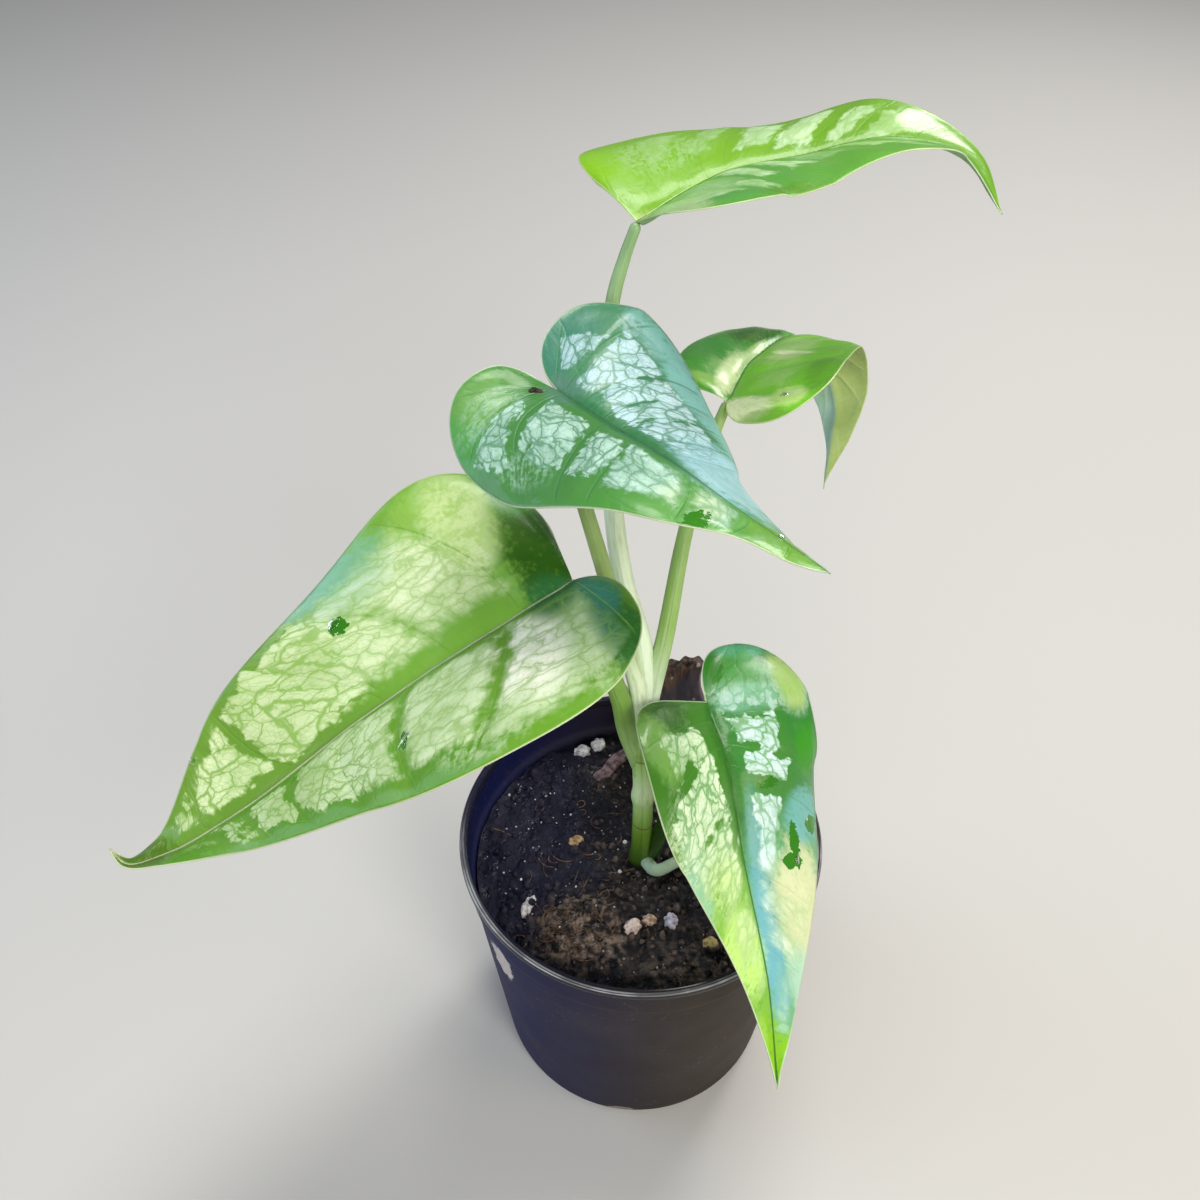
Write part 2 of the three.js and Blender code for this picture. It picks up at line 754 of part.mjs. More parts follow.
// The soil keeps a plain hole for each stem, stalk and root, and a dimple under each grain.
let ground = solidOf(soilGeometry());
for (const cut of cuts) ground = ground.subtract(cut);
place("soil", geometryOf(largestOf(ground)), finishes.soil);

place("pot", potGeometry(), finishes.pot);

export default plant;
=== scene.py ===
import math

import bpy
import numpy as np
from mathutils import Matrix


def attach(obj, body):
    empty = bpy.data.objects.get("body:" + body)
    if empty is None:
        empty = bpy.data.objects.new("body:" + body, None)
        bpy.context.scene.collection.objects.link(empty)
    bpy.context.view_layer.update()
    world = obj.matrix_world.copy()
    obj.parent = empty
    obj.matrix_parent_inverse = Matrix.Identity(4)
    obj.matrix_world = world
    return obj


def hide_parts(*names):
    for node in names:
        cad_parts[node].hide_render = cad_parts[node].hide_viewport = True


# A young monstera siltepecana in a thin plastic nursery pot.
# All shapes are worked out in millimetres, +Z up, from the middle of the pot's underside, and stored in
# metres.
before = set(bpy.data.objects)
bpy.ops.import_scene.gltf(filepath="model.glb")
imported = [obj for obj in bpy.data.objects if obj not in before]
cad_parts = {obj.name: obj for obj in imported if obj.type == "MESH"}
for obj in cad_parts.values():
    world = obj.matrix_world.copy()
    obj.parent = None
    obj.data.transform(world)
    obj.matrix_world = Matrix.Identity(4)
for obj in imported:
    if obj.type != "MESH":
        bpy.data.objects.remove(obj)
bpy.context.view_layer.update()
print("frame loaded")

millimetre = 0.001


# Share of the way from low to high, kept from 0 to 1.
def share(value, low, high):
    return np.clip((value - low) / (high - low), 0.0, 1.0)


# The same share s with eased ends: 3 s squared less 2 s cubed.
def eased(value, low, high):
    s = share(value, low, high)
    return s * s * (3 - 2 * s)


# A rounded hump around zero: e to the power of minus (value / width) squared.
def hump(value, width):
    return np.exp(-((value / width) ** 2))


# Each vector divided by its length.
def unit(vectors):
    return vectors / np.maximum(np.linalg.norm(vectors, axis=-1, keepdims=True), 1e-12)


# Two coordinates turned by an angle, the first towards the second.
def turned(x, y, angle):
    return x * np.cos(angle) - y * np.sin(angle), x * np.sin(angle) + y * np.cos(angle)


# Value at share f on the curve of second degree through three stations, at 0, one half and 1.
def between(stations, f):
    start, middle, end = stations
    return start * (1 - f) * (1 - 2 * f) + middle * 4 * f * (1 - f) + end * f * (2 * f - 1)


# Cubic curve through flat points: the powers of w and 1 - w weigh the four points.
def cubic(a, b, c, d, w):
    a, b, c, d = (np.array(point, float) for point in (a, b, c, d))
    w = w[..., None]
    return a * (1 - w) ** 3 + 3 * b * (1 - w) ** 2 * w + 3 * c * (1 - w) * w**2 + d * w**3


# Rows of a list at share f of it, mixed between neighbouring rows.
def mixedRows(rows, f):
    spot = np.clip(f, 0, 1) * (len(rows) - 1)
    i = np.minimum(spot.astype(int), len(rows) - 2)
    w = (spot - i)[..., None]
    return rows[i] * (1 - w) + rows[i + 1] * w


# Even steps along a centripetal Catmull-Rom curve: between two points it is the cubic whose end slopes weigh
# the neighbouring chords by the square roots of their lengths.
def smoothCurve(points, count):
    p = np.asarray(points, float)
    p = np.vstack([2 * p[0] - p[1], p, 2 * p[-1] - p[-2]])
    chord = np.diff(p, axis=0)
    knot = np.sqrt(np.linalg.norm(chord, axis=1))[:, None]
    a, b, c = knot[:-2], knot[1:-1], knot[2:]
    leaving = b * (chord[:-2] / a - (p[2:-1] - p[:-3]) / (a + b) + chord[1:-1] / b)
    arriving = b * (chord[1:-1] / b - (p[3:] - p[1:-2]) / (b + c) + chord[2:] / c)
    spot = np.linspace(0, len(points) - 1, 60 * len(points))
    i = np.minimum(spot.astype(int), len(points) - 2)
    w = (spot - i)[:, None]
    curve = (
        p[1:-2][i] * (2 * w**3 - 3 * w**2 + 1)
        + leaving[i] * (w**3 - 2 * w**2 + w)
        + p[2:-1][i] * (3 * w**2 - 2 * w**3)
        + arriving[i] * (w**3 - w**2)
    )
    travelled = np.r_[0, np.cumsum(np.linalg.norm(np.diff(curve, axis=0), axis=1))]
    even = np.linspace(0, travelled[-1], count)
    return np.stack([np.interp(even, travelled, curve[:, k]) for k in range(3)], 1), travelled[-1]


# Places, directions and upward normals at even steps along a path. Each normal is the one before it, squared
# up to the new direction, so the path doesn't twist.
def pathFrames(points, count, up):
    places, length = smoothCurve(points, count)
    directions = unit(np.gradient(places, axis=0))
    normals = []
    normal = np.array(up, float)
    for direction in directions:
        normal = normal - direction * (normal @ direction)
        normal = normal / np.linalg.norm(normal)
        normals.append(normal)
    return {"places": places, "directions": directions, "normals": np.array(normals), "length": length}


# Triangles of a grid of points numbered row by row. Where around is true, the last column joins the first.
def gridFaces(rows, columns, around=False):
    i, j = np.meshgrid(np.arange(rows - 1), np.arange(columns - (0 if around else 1)), indexing="ij")
    a = i * columns + j
    b = i * columns + (j + 1) % columns
    c, d = b + columns, a + columns
    return np.concatenate([np.stack([a, b, c], -1).reshape(-1, 3), np.stack([a, c, d], -1).reshape(-1, 3)])


# Triangles of a closed tube of rings, with a fan at each end. The two middles of the fans come after the
# points of all rings.
def tubeFaces(rings, sides):
    count = rings * sides
    first = np.arange(sides)
    second = (first + 1) % sides
    last = count - sides
    start = np.stack([np.full(sides, count), second, first], 1)
    end = np.stack([np.full(sides, count + 1), last + first, last + second], 1)
    return np.concatenate([gridFaces(rings, sides, True), start, end])


# Points that fall together become one. Gives the numbers of the points kept, and the triangles left.
def welded(points, faces):
    keys = np.round(points * 5e3).astype(np.int64)
    _, first, numbers = np.unique(keys, axis=0, return_index=True, return_inverse=True)
    faces = numbers.reshape(-1)[faces]
    a, b, c = faces.T
    return first, faces[(a != b) & (b != c) & (c != a)]


# Normal at each point: the cross products of its triangles' edges, added up and made one long.
def pointNormals(points, faces):
    a, b, c = (points[faces[:, k]] for k in range(3))
    facing = np.cross(b - a, c - a)
    normals = np.zeros_like(points)
    for k in range(3):
        np.add.at(normals, faces[:, k], facing)
    return unit(normals)


# A closed slab from an open sheet: the sheet raised by above, its copy lowered by below, and a strip round
# the rim. Gives the points, the triangles, and for each triangle 0 on top, 1 underneath and 2 on the rim.
def thickened(points, faces, above, below):
    normals = pointNormals(points, faces)
    count = len(points)
    edges = np.concatenate([faces[:, [0, 1]], faces[:, [1, 2]], faces[:, [2, 0]]])
    _, first, uses = np.unique(np.sort(edges, axis=1), axis=0, return_index=True, return_counts=True)
    p, q = edges[first[uses == 1]].T
    rim = np.concatenate([np.stack([q, p, p + count], 1), np.stack([q, p + count, q + count], 1)])
    allPoints = np.concatenate([points + normals * above[:, None], points - normals * below[:, None]])
    allFaces = np.concatenate([faces, faces[:, ::-1] + count, rim])
    side = np.repeat([0, 1, 2], [len(faces), len(faces), len(rim)])
    return allPoints, allFaces, side


# Smooth random values from -1 to 1 over flat places: a lattice of random numbers, mixed with eased weights.
def drift(x, y, size, seed):
    lattice = np.random.default_rng(seed).uniform(-1, 1, (97, 97))
    u, v = x / size + 40.37, y / size + 41.83
    i, j = np.floor(u).astype(int), np.floor(v).astype(int)
    a, b = u - i, v - j
    a, b = a * a * (3 - 2 * a), b * b * (3 - 2 * b)
    i, j = i % 96, j % 96
    low = lattice[i, j] * (1 - a) + lattice[i + 1, j] * a
    high = lattice[i, j + 1] * (1 - a) + lattice[i + 1, j + 1] * a
    return low * (1 - b) + high * b


# Rounded lumps from 0 to 1: one random spot in each square of a lattice, and the height falls from the
# nearest spot as the root of 1 less its squared distance.
def lumps(x, y, size, seed):
    spots = np.random.default_rng(seed).uniform(0.12, 0.88, (97, 97, 2))
    u, v = x / size + 40, y / size + 40
    i, j = np.floor(u).astype(int), np.floor(v).astype(int)
    nearest = np.full(np.shape(x), 9.0)
    for di in (-1, 0, 1):
        for dj in (-1, 0, 1):
            spot = spots[(i + di) % 97, (j + dj) % 97]
            away = (i + di + spot[..., 0] - u) ** 2 + (j + dj + spot[..., 1] - v) ** 2
            nearest = np.minimum(nearest, away)
    return np.sqrt(np.clip(1 - nearest / 0.75, 0, 1))


# A mesh object in the model's frame, from points in millimetres. places holds values kept at each point for
# materials.
def addPiece(name, points, faces, finishes, replaced=(), slot=None, side=None, places=None):
    mesh = bpy.data.meshes.new(name)
    mesh.vertices.add(len(points))
    mesh.vertices.foreach_set("co", (points * millimetre).astype(np.float32).ravel())
    mesh.loops.add(faces.size)
    mesh.loops.foreach_set("vertex_index", faces.astype(np.int32).ravel())
    mesh.polygons.add(len(faces))
    mesh.polygons.foreach_set("loop_start", (np.arange(len(faces)) * faces.shape[1]).astype(np.int32))
    mesh.update(calc_edges=True)
    mesh.polygons.foreach_set("use_smooth", np.full(len(faces), True))
    for finish in finishes:
        mesh.materials.append(finish)
    if side is not None:
        mesh.polygons.foreach_set("material_index", side.astype(np.int32))
    for key, values in (places or {}).items():
        flat = np.asarray(values, np.float32)
        kind, field = ("FLOAT", "value") if flat.ndim == 1 else ("FLOAT_VECTOR", "vector")
        mesh.attributes.new(key, kind, "POINT").data.foreach_set(field, flat.ravel())
    piece = bpy.data.objects.new(name, mesh)
    bpy.context.scene.collection.objects.link(piece)
    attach(piece, "root")
    if replaced:
        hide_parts(*replaced)
    return piece


# Finishes

# Colour of a six-figure code as red, green, blue and alpha in light values.
def tint(code):
    parts = np.array([int(code[i : i + 2], 16) for i in (1, 3, 5)]) / 255
    light = np.where(parts <= 0.04045, parts / 12.92, ((parts + 0.055) / 1.055) ** 2.4)
    return (*light.tolist(), 1.0)


# A socket of a finish. Arithmetic on wires and numbers adds Math nodes.
class Wire:
    def __init__(self, finish, socket):
        self.finish, self.socket = finish, socket

    def __add__(self, other):
        return self.finish.maths("ADD", self, other)

    def __sub__(self, other):
        return self.finish.maths("SUBTRACT", self, other)

    def __rsub__(self, other):
        return self.finish.maths("SUBTRACT", other, self)

    def __mul__(self, other):
        return self.finish.maths("MULTIPLY", self, other)

    def __abs__(self):
        return self.finish.maths("ABSOLUTE", self)

    __radd__ = __add__
    __rmul__ = __mul__


# A material that is put together by adding nodes.
class Finish:
    def __init__(self, name, **fixed):
        self.material = bpy.data.materials.new(name)
        self.material.use_nodes = True
        self.tree = self.material.node_tree
        self.tree.nodes.clear()
        self.shader = self.tree.nodes.new("ShaderNodeBsdfPrincipled")
        output = self.tree.nodes.new("ShaderNodeOutputMaterial")
        self.tree.links.new(self.shader.outputs[0], output.inputs[0])
        for key, value in fixed.items():
            self.shader.inputs[key.replace("_", " ")].default_value = value

    # Adds a node of a type, with its settings first and then the values or wires of its sockets.
    def add(self, kind, settings=None, sockets=None, outlet=0):
        node = self.tree.nodes.new("ShaderNode" + kind)
        for key, value in (settings or {}).items():
            if key == "stops":
                for number, (place, colour) in enumerate(value):
                    stops = node.color_ramp.elements
                    stop = stops[number] if number < 2 else stops.new(place)
                    stop.position, stop.color = place, tint(colour)
            else:
                setattr(node, key, value)
        for key, value in (sockets or {}).items():
            self.plug(node.inputs[key], value)
        return Wire(self, node.outputs[outlet])

    # Gives a socket a wire, a colour code or a plain value.
    def plug(self, socket, value):
        if isinstance(value, Wire):
            self.tree.links.new(value.socket, socket)
        else:
            socket.default_value = tint(value) if isinstance(value, str) else value

    def maths(self, operation, *values):
        return self.add("Math", {"operation": operation}, dict(enumerate(values)))

    def least(self, a, b):
        return self.maths("MINIMUM", a, b)

    def most(self, a, b):
        return self.maths("MAXIMUM", a, b)

    # Share of the way from low to high, with eased ends.
    def eased(self, value, low, high):
        sockets = {"Value": value, "From Min": low, "From Max": high}
        return self.add("MapRange", {"interpolation_type": "SMOOTHSTEP"}, sockets)

    def mix(self, colour, other, factor):
        settings = {"data_type": "RGBA", "blend_type": "MIX", "clamp_factor": True}
        return self.add("Mix", settings, {0: factor, 6: colour, 7: other}, 2)

    def split(self, vector):
        node = self.add("SeparateXYZ", None, {0: vector}).socket.node
        return [Wire(self, socket) for socket in node.outputs]

    def join(self, x, y, z=0.0):
        return self.add("CombineXYZ", None, {0: x, 1: y, 2: z})

    # A vector and another one times a number, added.
    def moved(self, vector, other, times):
        far = self.add("VectorMath", {"operation": "SCALE"}, {0: other, "Scale": times})
        return self.add("VectorMath", {"operation": "ADD"}, {0: vector, 1: far})

    # Value that addPiece kept at the points of a mesh.
    def kept(self, name, outlet="Vector"):
        return self.add("Attribute", {"attribute_name": name}, None, outlet)

    # Place on the object in millimetres.
    def place(self):
        here = self.add("TexCoord", None, None, "Object")
        return self.add("VectorMath", {"operation": "SCALE"}, {0: here, "Scale": 1 / millimetre})

    # Random clouds. size is the rough width of one, in the vector's own unit.
    def clouds(self, vector, size, detail=2.0, outlet="Fac"):
        sockets = {"Vector": vector, "Scale": 1.0 / size, "Detail": detail}
        return self.add("TexNoise", None, sockets, outlet)

    # Cells of a rough width: distance from their middles or edges, or a random colour for each.
    def cells(self, vector, size, feature="F1", outlet="Distance"):
        return self.add("TexVoronoi", {"feature": feature}, {"Vector": vector, "Scale": 1.0 / size}, outlet)

    # Squared distance from a middle, counted in half sizes, so that it is 1 on the edge of that ellipse.
    def away(self, parts, middle, halfSizes):
        steps = [(part - at) * (1 / half) for part, at, half in zip(parts, middle, halfSizes)]
        squares = [step * step for step in steps]
        return sum(squares[1:], squares[0])

    # Wires the colour, roughness and relief to the shader. relief is in millimetres.
    def close(self, colour, roughness, relief=None):
        self.plug(self.shader.inputs["Base Color"], colour)
        self.plug(self.shader.inputs["Roughness"], roughness)
        if relief is not None:
            sockets = {"Strength": 1.0, "Distance": millimetre, "Height": relief}
            self.plug(self.shader.inputs["Normal"], self.add("Bump", None, sockets))
        return self.material


# Blades

# Each leaf's blade follows its spine, from the stalk to the tip. Values in pairs are for its right and left
# half as seen from the stalk, and values in threes are at the stalk, halfway and at the tip.
# veins: for each side vein, share t where it leaves the midrib, share t where it meets the edge, and half the
# width of the green band along it
# patches: for each gap between two side veins, where the silver patch starts and ends on the way from the
# midrib to the edge, and how strong it is
leaves = {
    "top": {
        "spine": [(-2.5, 42.4, 195.7), (12.8, 53.7, 199.3), (27.5, 57.6, 201), (43.8, 59.3, 203.7),
                  (58.7, 60.8, 199.3), (65, 51.2, 192.8)],
        "halfWidth": (24.6, 25), "lobe": (0.2, 0), "widest": 0.2, "shoulder": 0.37, "taper": 0.19,
        "point": 0.26, "roll": (-2, -6, 4), "fold": ((33, 19, 27), (31, 13, 29)), "curl": (23, 41),
        "droop": (20, 20), "wave": ((0.6, 2.1, -0.15), (-1, 2.4, 0)),
        "veins": (
            ((0.18, 0.18, 0.6), (0.345, 0.36, 0.8), (0.435, 0.45, 0.9), (0.5, 0.53, 0.9),
             (0.58, 0.6, 0.7), (0.66, 0.68, 1.0), (0.72, 0.74, 0.9), (0.79, 0.8, 1.0), (0.84, 0.85, 0.6)),
            ((0.18, 0.18, 0.6), (0.345, 0.345, 1.2), (0.435, 0.435, 1.0), (0.5, 0.5, 1.6),
             (0.58, 0.585, 0.5), (0.66, 0.66, 1.5), (0.72, 0.72, 0.8), (0.79, 0.79, 1.3),
             (0.84, 0.84, 0.6)),
        ),
        "patches": (
            ((0.3, 0.75, 0.6), (0.55, 0.85, 0.6), (0.1, 0.62, 0.9), (0.08, 0.6, 0.95), (0.1, 0.55, 0.3),
             (0.08, 0.65, 0.95), (0.1, 0.6, 0.4), (0.3, 0.7, 0.1)),
            ((0.1, 0.5, 0.15), (0.35, 0.8, 0.4), (0.3, 0.8, 0.4), (0.25, 0.75, 0.9), (0.15, 0.82, 0.95),
             (0.15, 0.72, 0.7), (0.12, 0.66, 0.7), (0.25, 0.5, 0.3)),
        ),
    },
    "middle": {
        "spine": [(-16.6, 18.6, 176.7), (-5.7, 7.2, 176.6), (5.4, -4.6, 176.6), (16, -13.8, 173.8),
                  (25.3, -25.5, 174.3)],
        "halfWidth": (24, 24.2), "lobe": (10.5, 9), "widest": 0.19, "shoulder": 0.32, "taper": 0.06,
        "point": 0.08, "roll": (7, -12, -18), "fold": ((11, 6, 4), (25, -14, -15)), "curl": (36, 24),
        "droop": (-22, -11), "wave": ((1.5, 1.77, 0.08), (1.2, 2, 0.07)),
        "veins": (
            ((0.17, 0.19, 0.5), (0.22, 0.3, 1.0), (0.275, 0.42, 1.4), (0.464, 0.49, 0.7),
             (0.56, 0.535, 0.5), (0.7, 0.64, 0.7), (0.81, 0.74, 1.2), (0.88, 0.85, 1.0)),
            ((0.15, 0.15, 0.8), (0.27, 0.3, 0.7), (0.355, 0.385, 0.12), (0.44, 0.425, 0.12),
             (0.5, 0.475, 0.16), (0.575, 0.53, 0.16), (0.63, 0.58, 0.5), (0.84, 0.8, 0.8)),
        ),
        "patches": (
            ((0.4, 0.8, 0.15), (0.34, 0.88, 0.9), (0.16, 0.68, 1.0), (0.18, 0.7, 1.0), (0.17, 0.8, 1.0),
             (0.18, 0.92, 0.85), (0.3, 0.9, 0.15)),
            ((0.2, 0.6, 0.7), (0.14, 0.68, 1.0), (0.15, 0.7, 1.0), (0.13, 0.72, 1.0), (0.16, 0.74, 1.0),
             (0.2, 0.72, 1.0), (0.12, 0.9, 0.5)),
        ),
    },
    "left": {
        "spine": [(-13.8, -1.2, 149.7), (-30.4, -7.4, 141.5), (-52.7, -14.7, 127.6),
                  (-74.7, -26.1, 115.3), (-88, -33.4, 111.9), (-93.4, -35.6, 112.5),
                  (-96.8, -33.4, 114.4)],
        "halfWidth": (32.8, 32.6), "lobe": (0.7, 8), "widest": 0.18, "shoulder": 0.42, "taper": 0.1,
        "point": 0.14, "roll": (5, 0, 0), "fold": ((9, 26, 17), (11, 26, 19)), "curl": (-7, 21),
        "droop": (20, 2), "wave": ((2.7, 2.6, -0.57), (-1.3, 1.75, 0.19)),
        "veins": (
            ((0.08, 0.07, 0.0), (0.36, 0.42, -1.0), (0.5, 0.56, -1.8), (0.62, 0.62, -1.5),
             (0.755, 0.68, 0.8), (0.86, 0.77, 1.0), (0.9, 0.83, 1.2), (0.94, 0.9, 1.0)),
            ((0.19, 0.205, 0.5), (0.395, 0.4, 0.4), (0.57, 0.455, 0.8), (0.67, 0.535, -1.0),
             (0.75, 0.615, 0.9), (0.815, 0.68, 1.2), (0.86, 0.74, 1.0), (0.92, 0.86, 1.0)),
        ),
        "patches": (
            ((0.3, 0.9, 0.12), (0.14, 0.93, 0.9), (0.12, 0.94, 1.0), (0.14, 0.93, 1.0),
             (0.26, 0.88, 0.95), (0.5, 0.85, 0.6), (0.6, 0.8, 0.15)),
            ((0.06, 0.9, 1.0), (0.08, 0.84, 1.0), (0.08, 0.86, 1.0), (0.12, 0.88, 1.0), (0.3, 0.85, 0.95),
             (0.4, 0.85, 0.6), (0.5, 0.8, 0.2)),
        ),
    },
    "right": {
        "spine": [(15.3, 34.4, 163.1), (22.1, 51.6, 161.6), (32.8, 65.4, 158.3), (40.7, 68.4, 148.5),
                  (43.7, 64.8, 141.7), (42.2, 56.4, 138.4), (39.4, 46.1, 132.3)],
        "halfWidth": (19.7, 13.3), "lobe": (6.8, 0.5), "widest": 0.17, "shoulder": 0.41, "taper": 0.08,
        "point": 0.18, "roll": (4, -17, -35), "fold": ((23, -1, -2), (25, 14, 4)), "curl": (4, 32),
        "droop": (15, 22), "wave": ((-1, 2.1, 0.05), (-0.6, 2, -0.03)),
        "veins": (
            ((0.12, 0.12, 0.5), (0.27, 0.3, 0.5), (0.38, 0.42, 0.5), (0.48, 0.52, 0.5), (0.56, 0.6, 0.6),
             (0.65, 0.68, 0.6), (0.75, 0.77, 0.6)),
            ((0.12, 0.12, 0.5), (0.3, 0.3, 0.5), (0.4, 0.4, 0.5), (0.485, 0.49, 0.6), (0.57, 0.58, 0.6),
             (0.65, 0.68, 0.6), (0.75, 0.77, 0.6)),
        ),
        "patches": (
            ((0.15, 0.75, 0.2), (0.15, 0.65, 0.35), (0.15, 0.6, 0.3), (0.15, 0.6, 0.35), (0.1, 0.6, 0.3),
             (0.2, 0.7, 0.2)),
            ((0.3, 0.85, 0.1), (0.1, 0.6, 0.2), (0.08, 0.5, 0.1), (0.2, 0.6, 0.1), (0.15, 0.6, 0.2),
             (0.2, 0.7, 0.2)),
        ),
    },
    "front": {
        "spine": [(12.5, 4.1, 110.8), (16.3, -8.9, 107), (19.4, -23.8, 94.5), (22.8, -41.2, 85),
                  (23.7, -61, 77.4)],
        "halfWidth": (23.3, 26.4), "lobe": (0, 13.7), "widest": 0.24, "shoulder": 0.32, "taper": 0.11,
        "point": 0.27, "roll": (-13, -29, -9), "fold": ((18, 16, 16), (14, 5, 14)), "curl": (11, 24),
        "droop": (20, 31), "wave": ((0, 2, 0), (1.5, 2.2, 0.05)),
        "veins": (
            ((0.15, 0.15, 0.5), (0.31, 0.31, 0.6), (0.395, 0.4, 0.8), (0.52, 0.52, 0.0), (0.6, 0.6, -0.5),
             (0.68, 0.68, -0.5), (0.76, 0.76, -0.5), (0.84, 0.84, 0.8)),
            ((0.14, 0.14, 0.6), (0.3, 0.3, 1.0), (0.386, 0.386, 0.5), (0.477, 0.477, 1.6),
             (0.655, 0.64, 0.3), (0.72, 0.7, 0.0), (0.78, 0.76, 0.0), (0.9, 0.88, 0.8)),
        ),
        "patches": (
            ((0.3, 0.7, 0.05), (0.25, 0.75, 0.7), (0.22, 0.96, 0.95), (0.2, 0.97, 0.85),
             (0.12, 0.85, 0.85), (0.1, 0.8, 0.95), (0.12, 0.75, 0.8)),
            ((0.12, 0.74, 0.6), (0.14, 0.52, 0.95), (0.15, 0.58, 1.0), (0.2, 0.5, 1.0),
             (0.14, 0.95, 0.75), (0.16, 0.97, 0.8), (0.25, 0.97, 0.7)),
        ),
    },
}

# How a half of a blade is drawn: its edge runs back round the lobe up to share lobeEnd, out to the widest
# place up to wideEnd, and from there to the tip. Up to fanEnd the side veins all leave from the stalk.
# lobeHandles: shares of the half width where the lobe's curves start, deepen, are lowest and swell
bladeForm = {
    "lobeEnd": 0.15, "wideEnd": 0.35, "fanEnd": 0.2, "slantEnd": 0.7, "smallLobe": 3, "crowding": 1.4,
    "bow": 0.24, "lobeHandles": (0.03, 0.14, 0.46, 0.8), "turnBack": 0.6, "tipCrowding": 1.25,
    "calmEnds": (0.1, 0.15), "spineSteps": 240, "fanRows": 36, "rows": 150, "columns": 44, "edgeSteps": 160,
}

# Thickness and relief of a blade, in millimetres: the groove on the midrib, the hollows beside the side veins
# and slow waves on top, the ribs underneath, and the green left round the edge.
bladeRelief = {
    "edgeThickness": 0.22, "thickness": 0.5, "grooveWidth": 1.0, "hollowWidth": 2.2, "wave": 0.18,
    "waveSize": 7.0, "rib": 0.9, "ribWidth": 0.9, "veinRib": 0.22, "veinRibWidth": 0.45, "greenEdge": 0.9,
}


# Places, directions, normals and length of a leaf's midrib.
def bladeSpine(name):
    return pathFrames(leaves[name]["spine"], bladeForm["spineSteps"] + 1, (0, 0, 1))


# Edge of one half, drawn flat with the midrib along y: three cubic curves, round the lobe, out to the widest
# place and on to the tip, chosen by share t of the way.
def bladeEdge(leaf, side, length, t):
    width, back = leaf["halfWidth"][side], leaf["lobe"][side]
    start, deepen, bottom, swell = (width * part for part in bladeForm["lobeHandles"])
    wideAt = leaf["widest"] * length
    turnAt = wideAt - bladeForm["turnBack"] * (wideAt + back)
    rest = length - wideAt
    full, slender = wideAt + leaf["shoulder"] * rest, length - leaf["point"] * rest
    lobeEnd, wideEnd = bladeForm["lobeEnd"], bladeForm["wideEnd"]
    atLobe, atWide, atTip = share(t, 0, lobeEnd), share(t, lobeEnd, wideEnd), share(t, wideEnd, 1)
    lobe = cubic((0, 0), (start, -bladeForm["turnBack"] * back), (deepen, -back), (bottom, -back), atLobe)
    out = cubic((bottom, -back), (swell, -back), (width, turnAt), (width, wideAt), atWide)
    tip = cubic((width, wideAt), (width, full), (leaf["taper"] * width, slender), (0, length), atTip)
    return np.where((t <= lobeEnd)[..., None], lobe, np.where((t <= wideEnd)[..., None], out, tip))


# One half of a blade over arrays of t, along the edge, and u, from the midrib out. Flat, a point lies on a
# side vein that bows between its foot on the midrib and the edge. The flat place is then carried by the
# spine, rolled, folded up at the midrib, bent down evenly towards the edge, drooped behind the stalk, and
# waved as a sine along the edge.
def bladeHalf(leaf, side, spine, t, u):
    length = spine["length"]
    edge = bladeEdge(leaf, side, length, t)
    fanEnd = bladeForm["fanEnd"]
    slanted = length * share(t, fanEnd, 1) ** bladeForm["crowding"]
    foot = slanted + (edge[..., 1] - slanted) * share(t, bladeForm["slantEnd"], 1) ** 2
    bow = bladeForm["bow"] * share(t, fanEnd, 2 * fanEnd) * u * (1 - u) * edge[..., 0]
    x = u * edge[..., 0]
    y = foot + u * (edge[..., 1] - foot) - bow
    f = share(y, 0, length)

    direction = unit(mixedRows(spine["directions"], f))
    level = unit(mixedRows(spine["normals"], f))
    sideways = np.cross(direction, level)
    roll = np.radians(between(leaf["roll"], f))[..., None]
    normal = level * np.cos(roll) + sideways * np.sin(roll)
    across = sideways * np.cos(roll) - level * np.sin(roll)

    fold = np.radians(between(leaf["fold"][side], f))
    bend = math.radians(leaf["curl"][side]) / leaf["halfWidth"][side]
    out = (np.sin(fold) - np.sin(fold - bend * x)) / bend
    rise = (np.cos(fold - bend * x) - np.cos(fold)) / bend

    behind = np.maximum(0, -y)
    drop = math.radians(leaf["droop"][side]) / max(leaf["lobe"][side], 1)
    backward = np.sin(drop * behind) / drop
    lowered = (1 - np.cos(drop * behind)) / drop

    height, waves, start = leaf["wave"][side]
    calmFoot, calmTip = bladeForm["calmEnds"]
    calm = share(t, 0, calmFoot) * share(1 - t, 0, calmTip)
    ripple = height * u * u * np.sin(2 * np.pi * (waves * t + start)) * calm

    points = mixedRows(spine["places"], f) - direction * backward[..., None]
    points = points + normal * (rise - lowered + ripple)[..., None]
    points = points + across * (out if side == 0 else -out)[..., None]
    return points, x, y


# Steepness of a value laid out on the grid, per millimetre of the flat blade: its slopes along rows and
# columns, turned into slopes along x and y.
def steepness(value, x, y):
    (vt, vu), (xt, xu), (yt, yu) = np.gradient(value), np.gradient(x), np.gradient(y)
    area = xt * yu - xu * yt
    area = np.where(np.abs(area) < 1e-6, 1e-6, area)
    return np.hypot((vt * yu - vu * yt) / area, (vu * xt - vt * xu) / area)


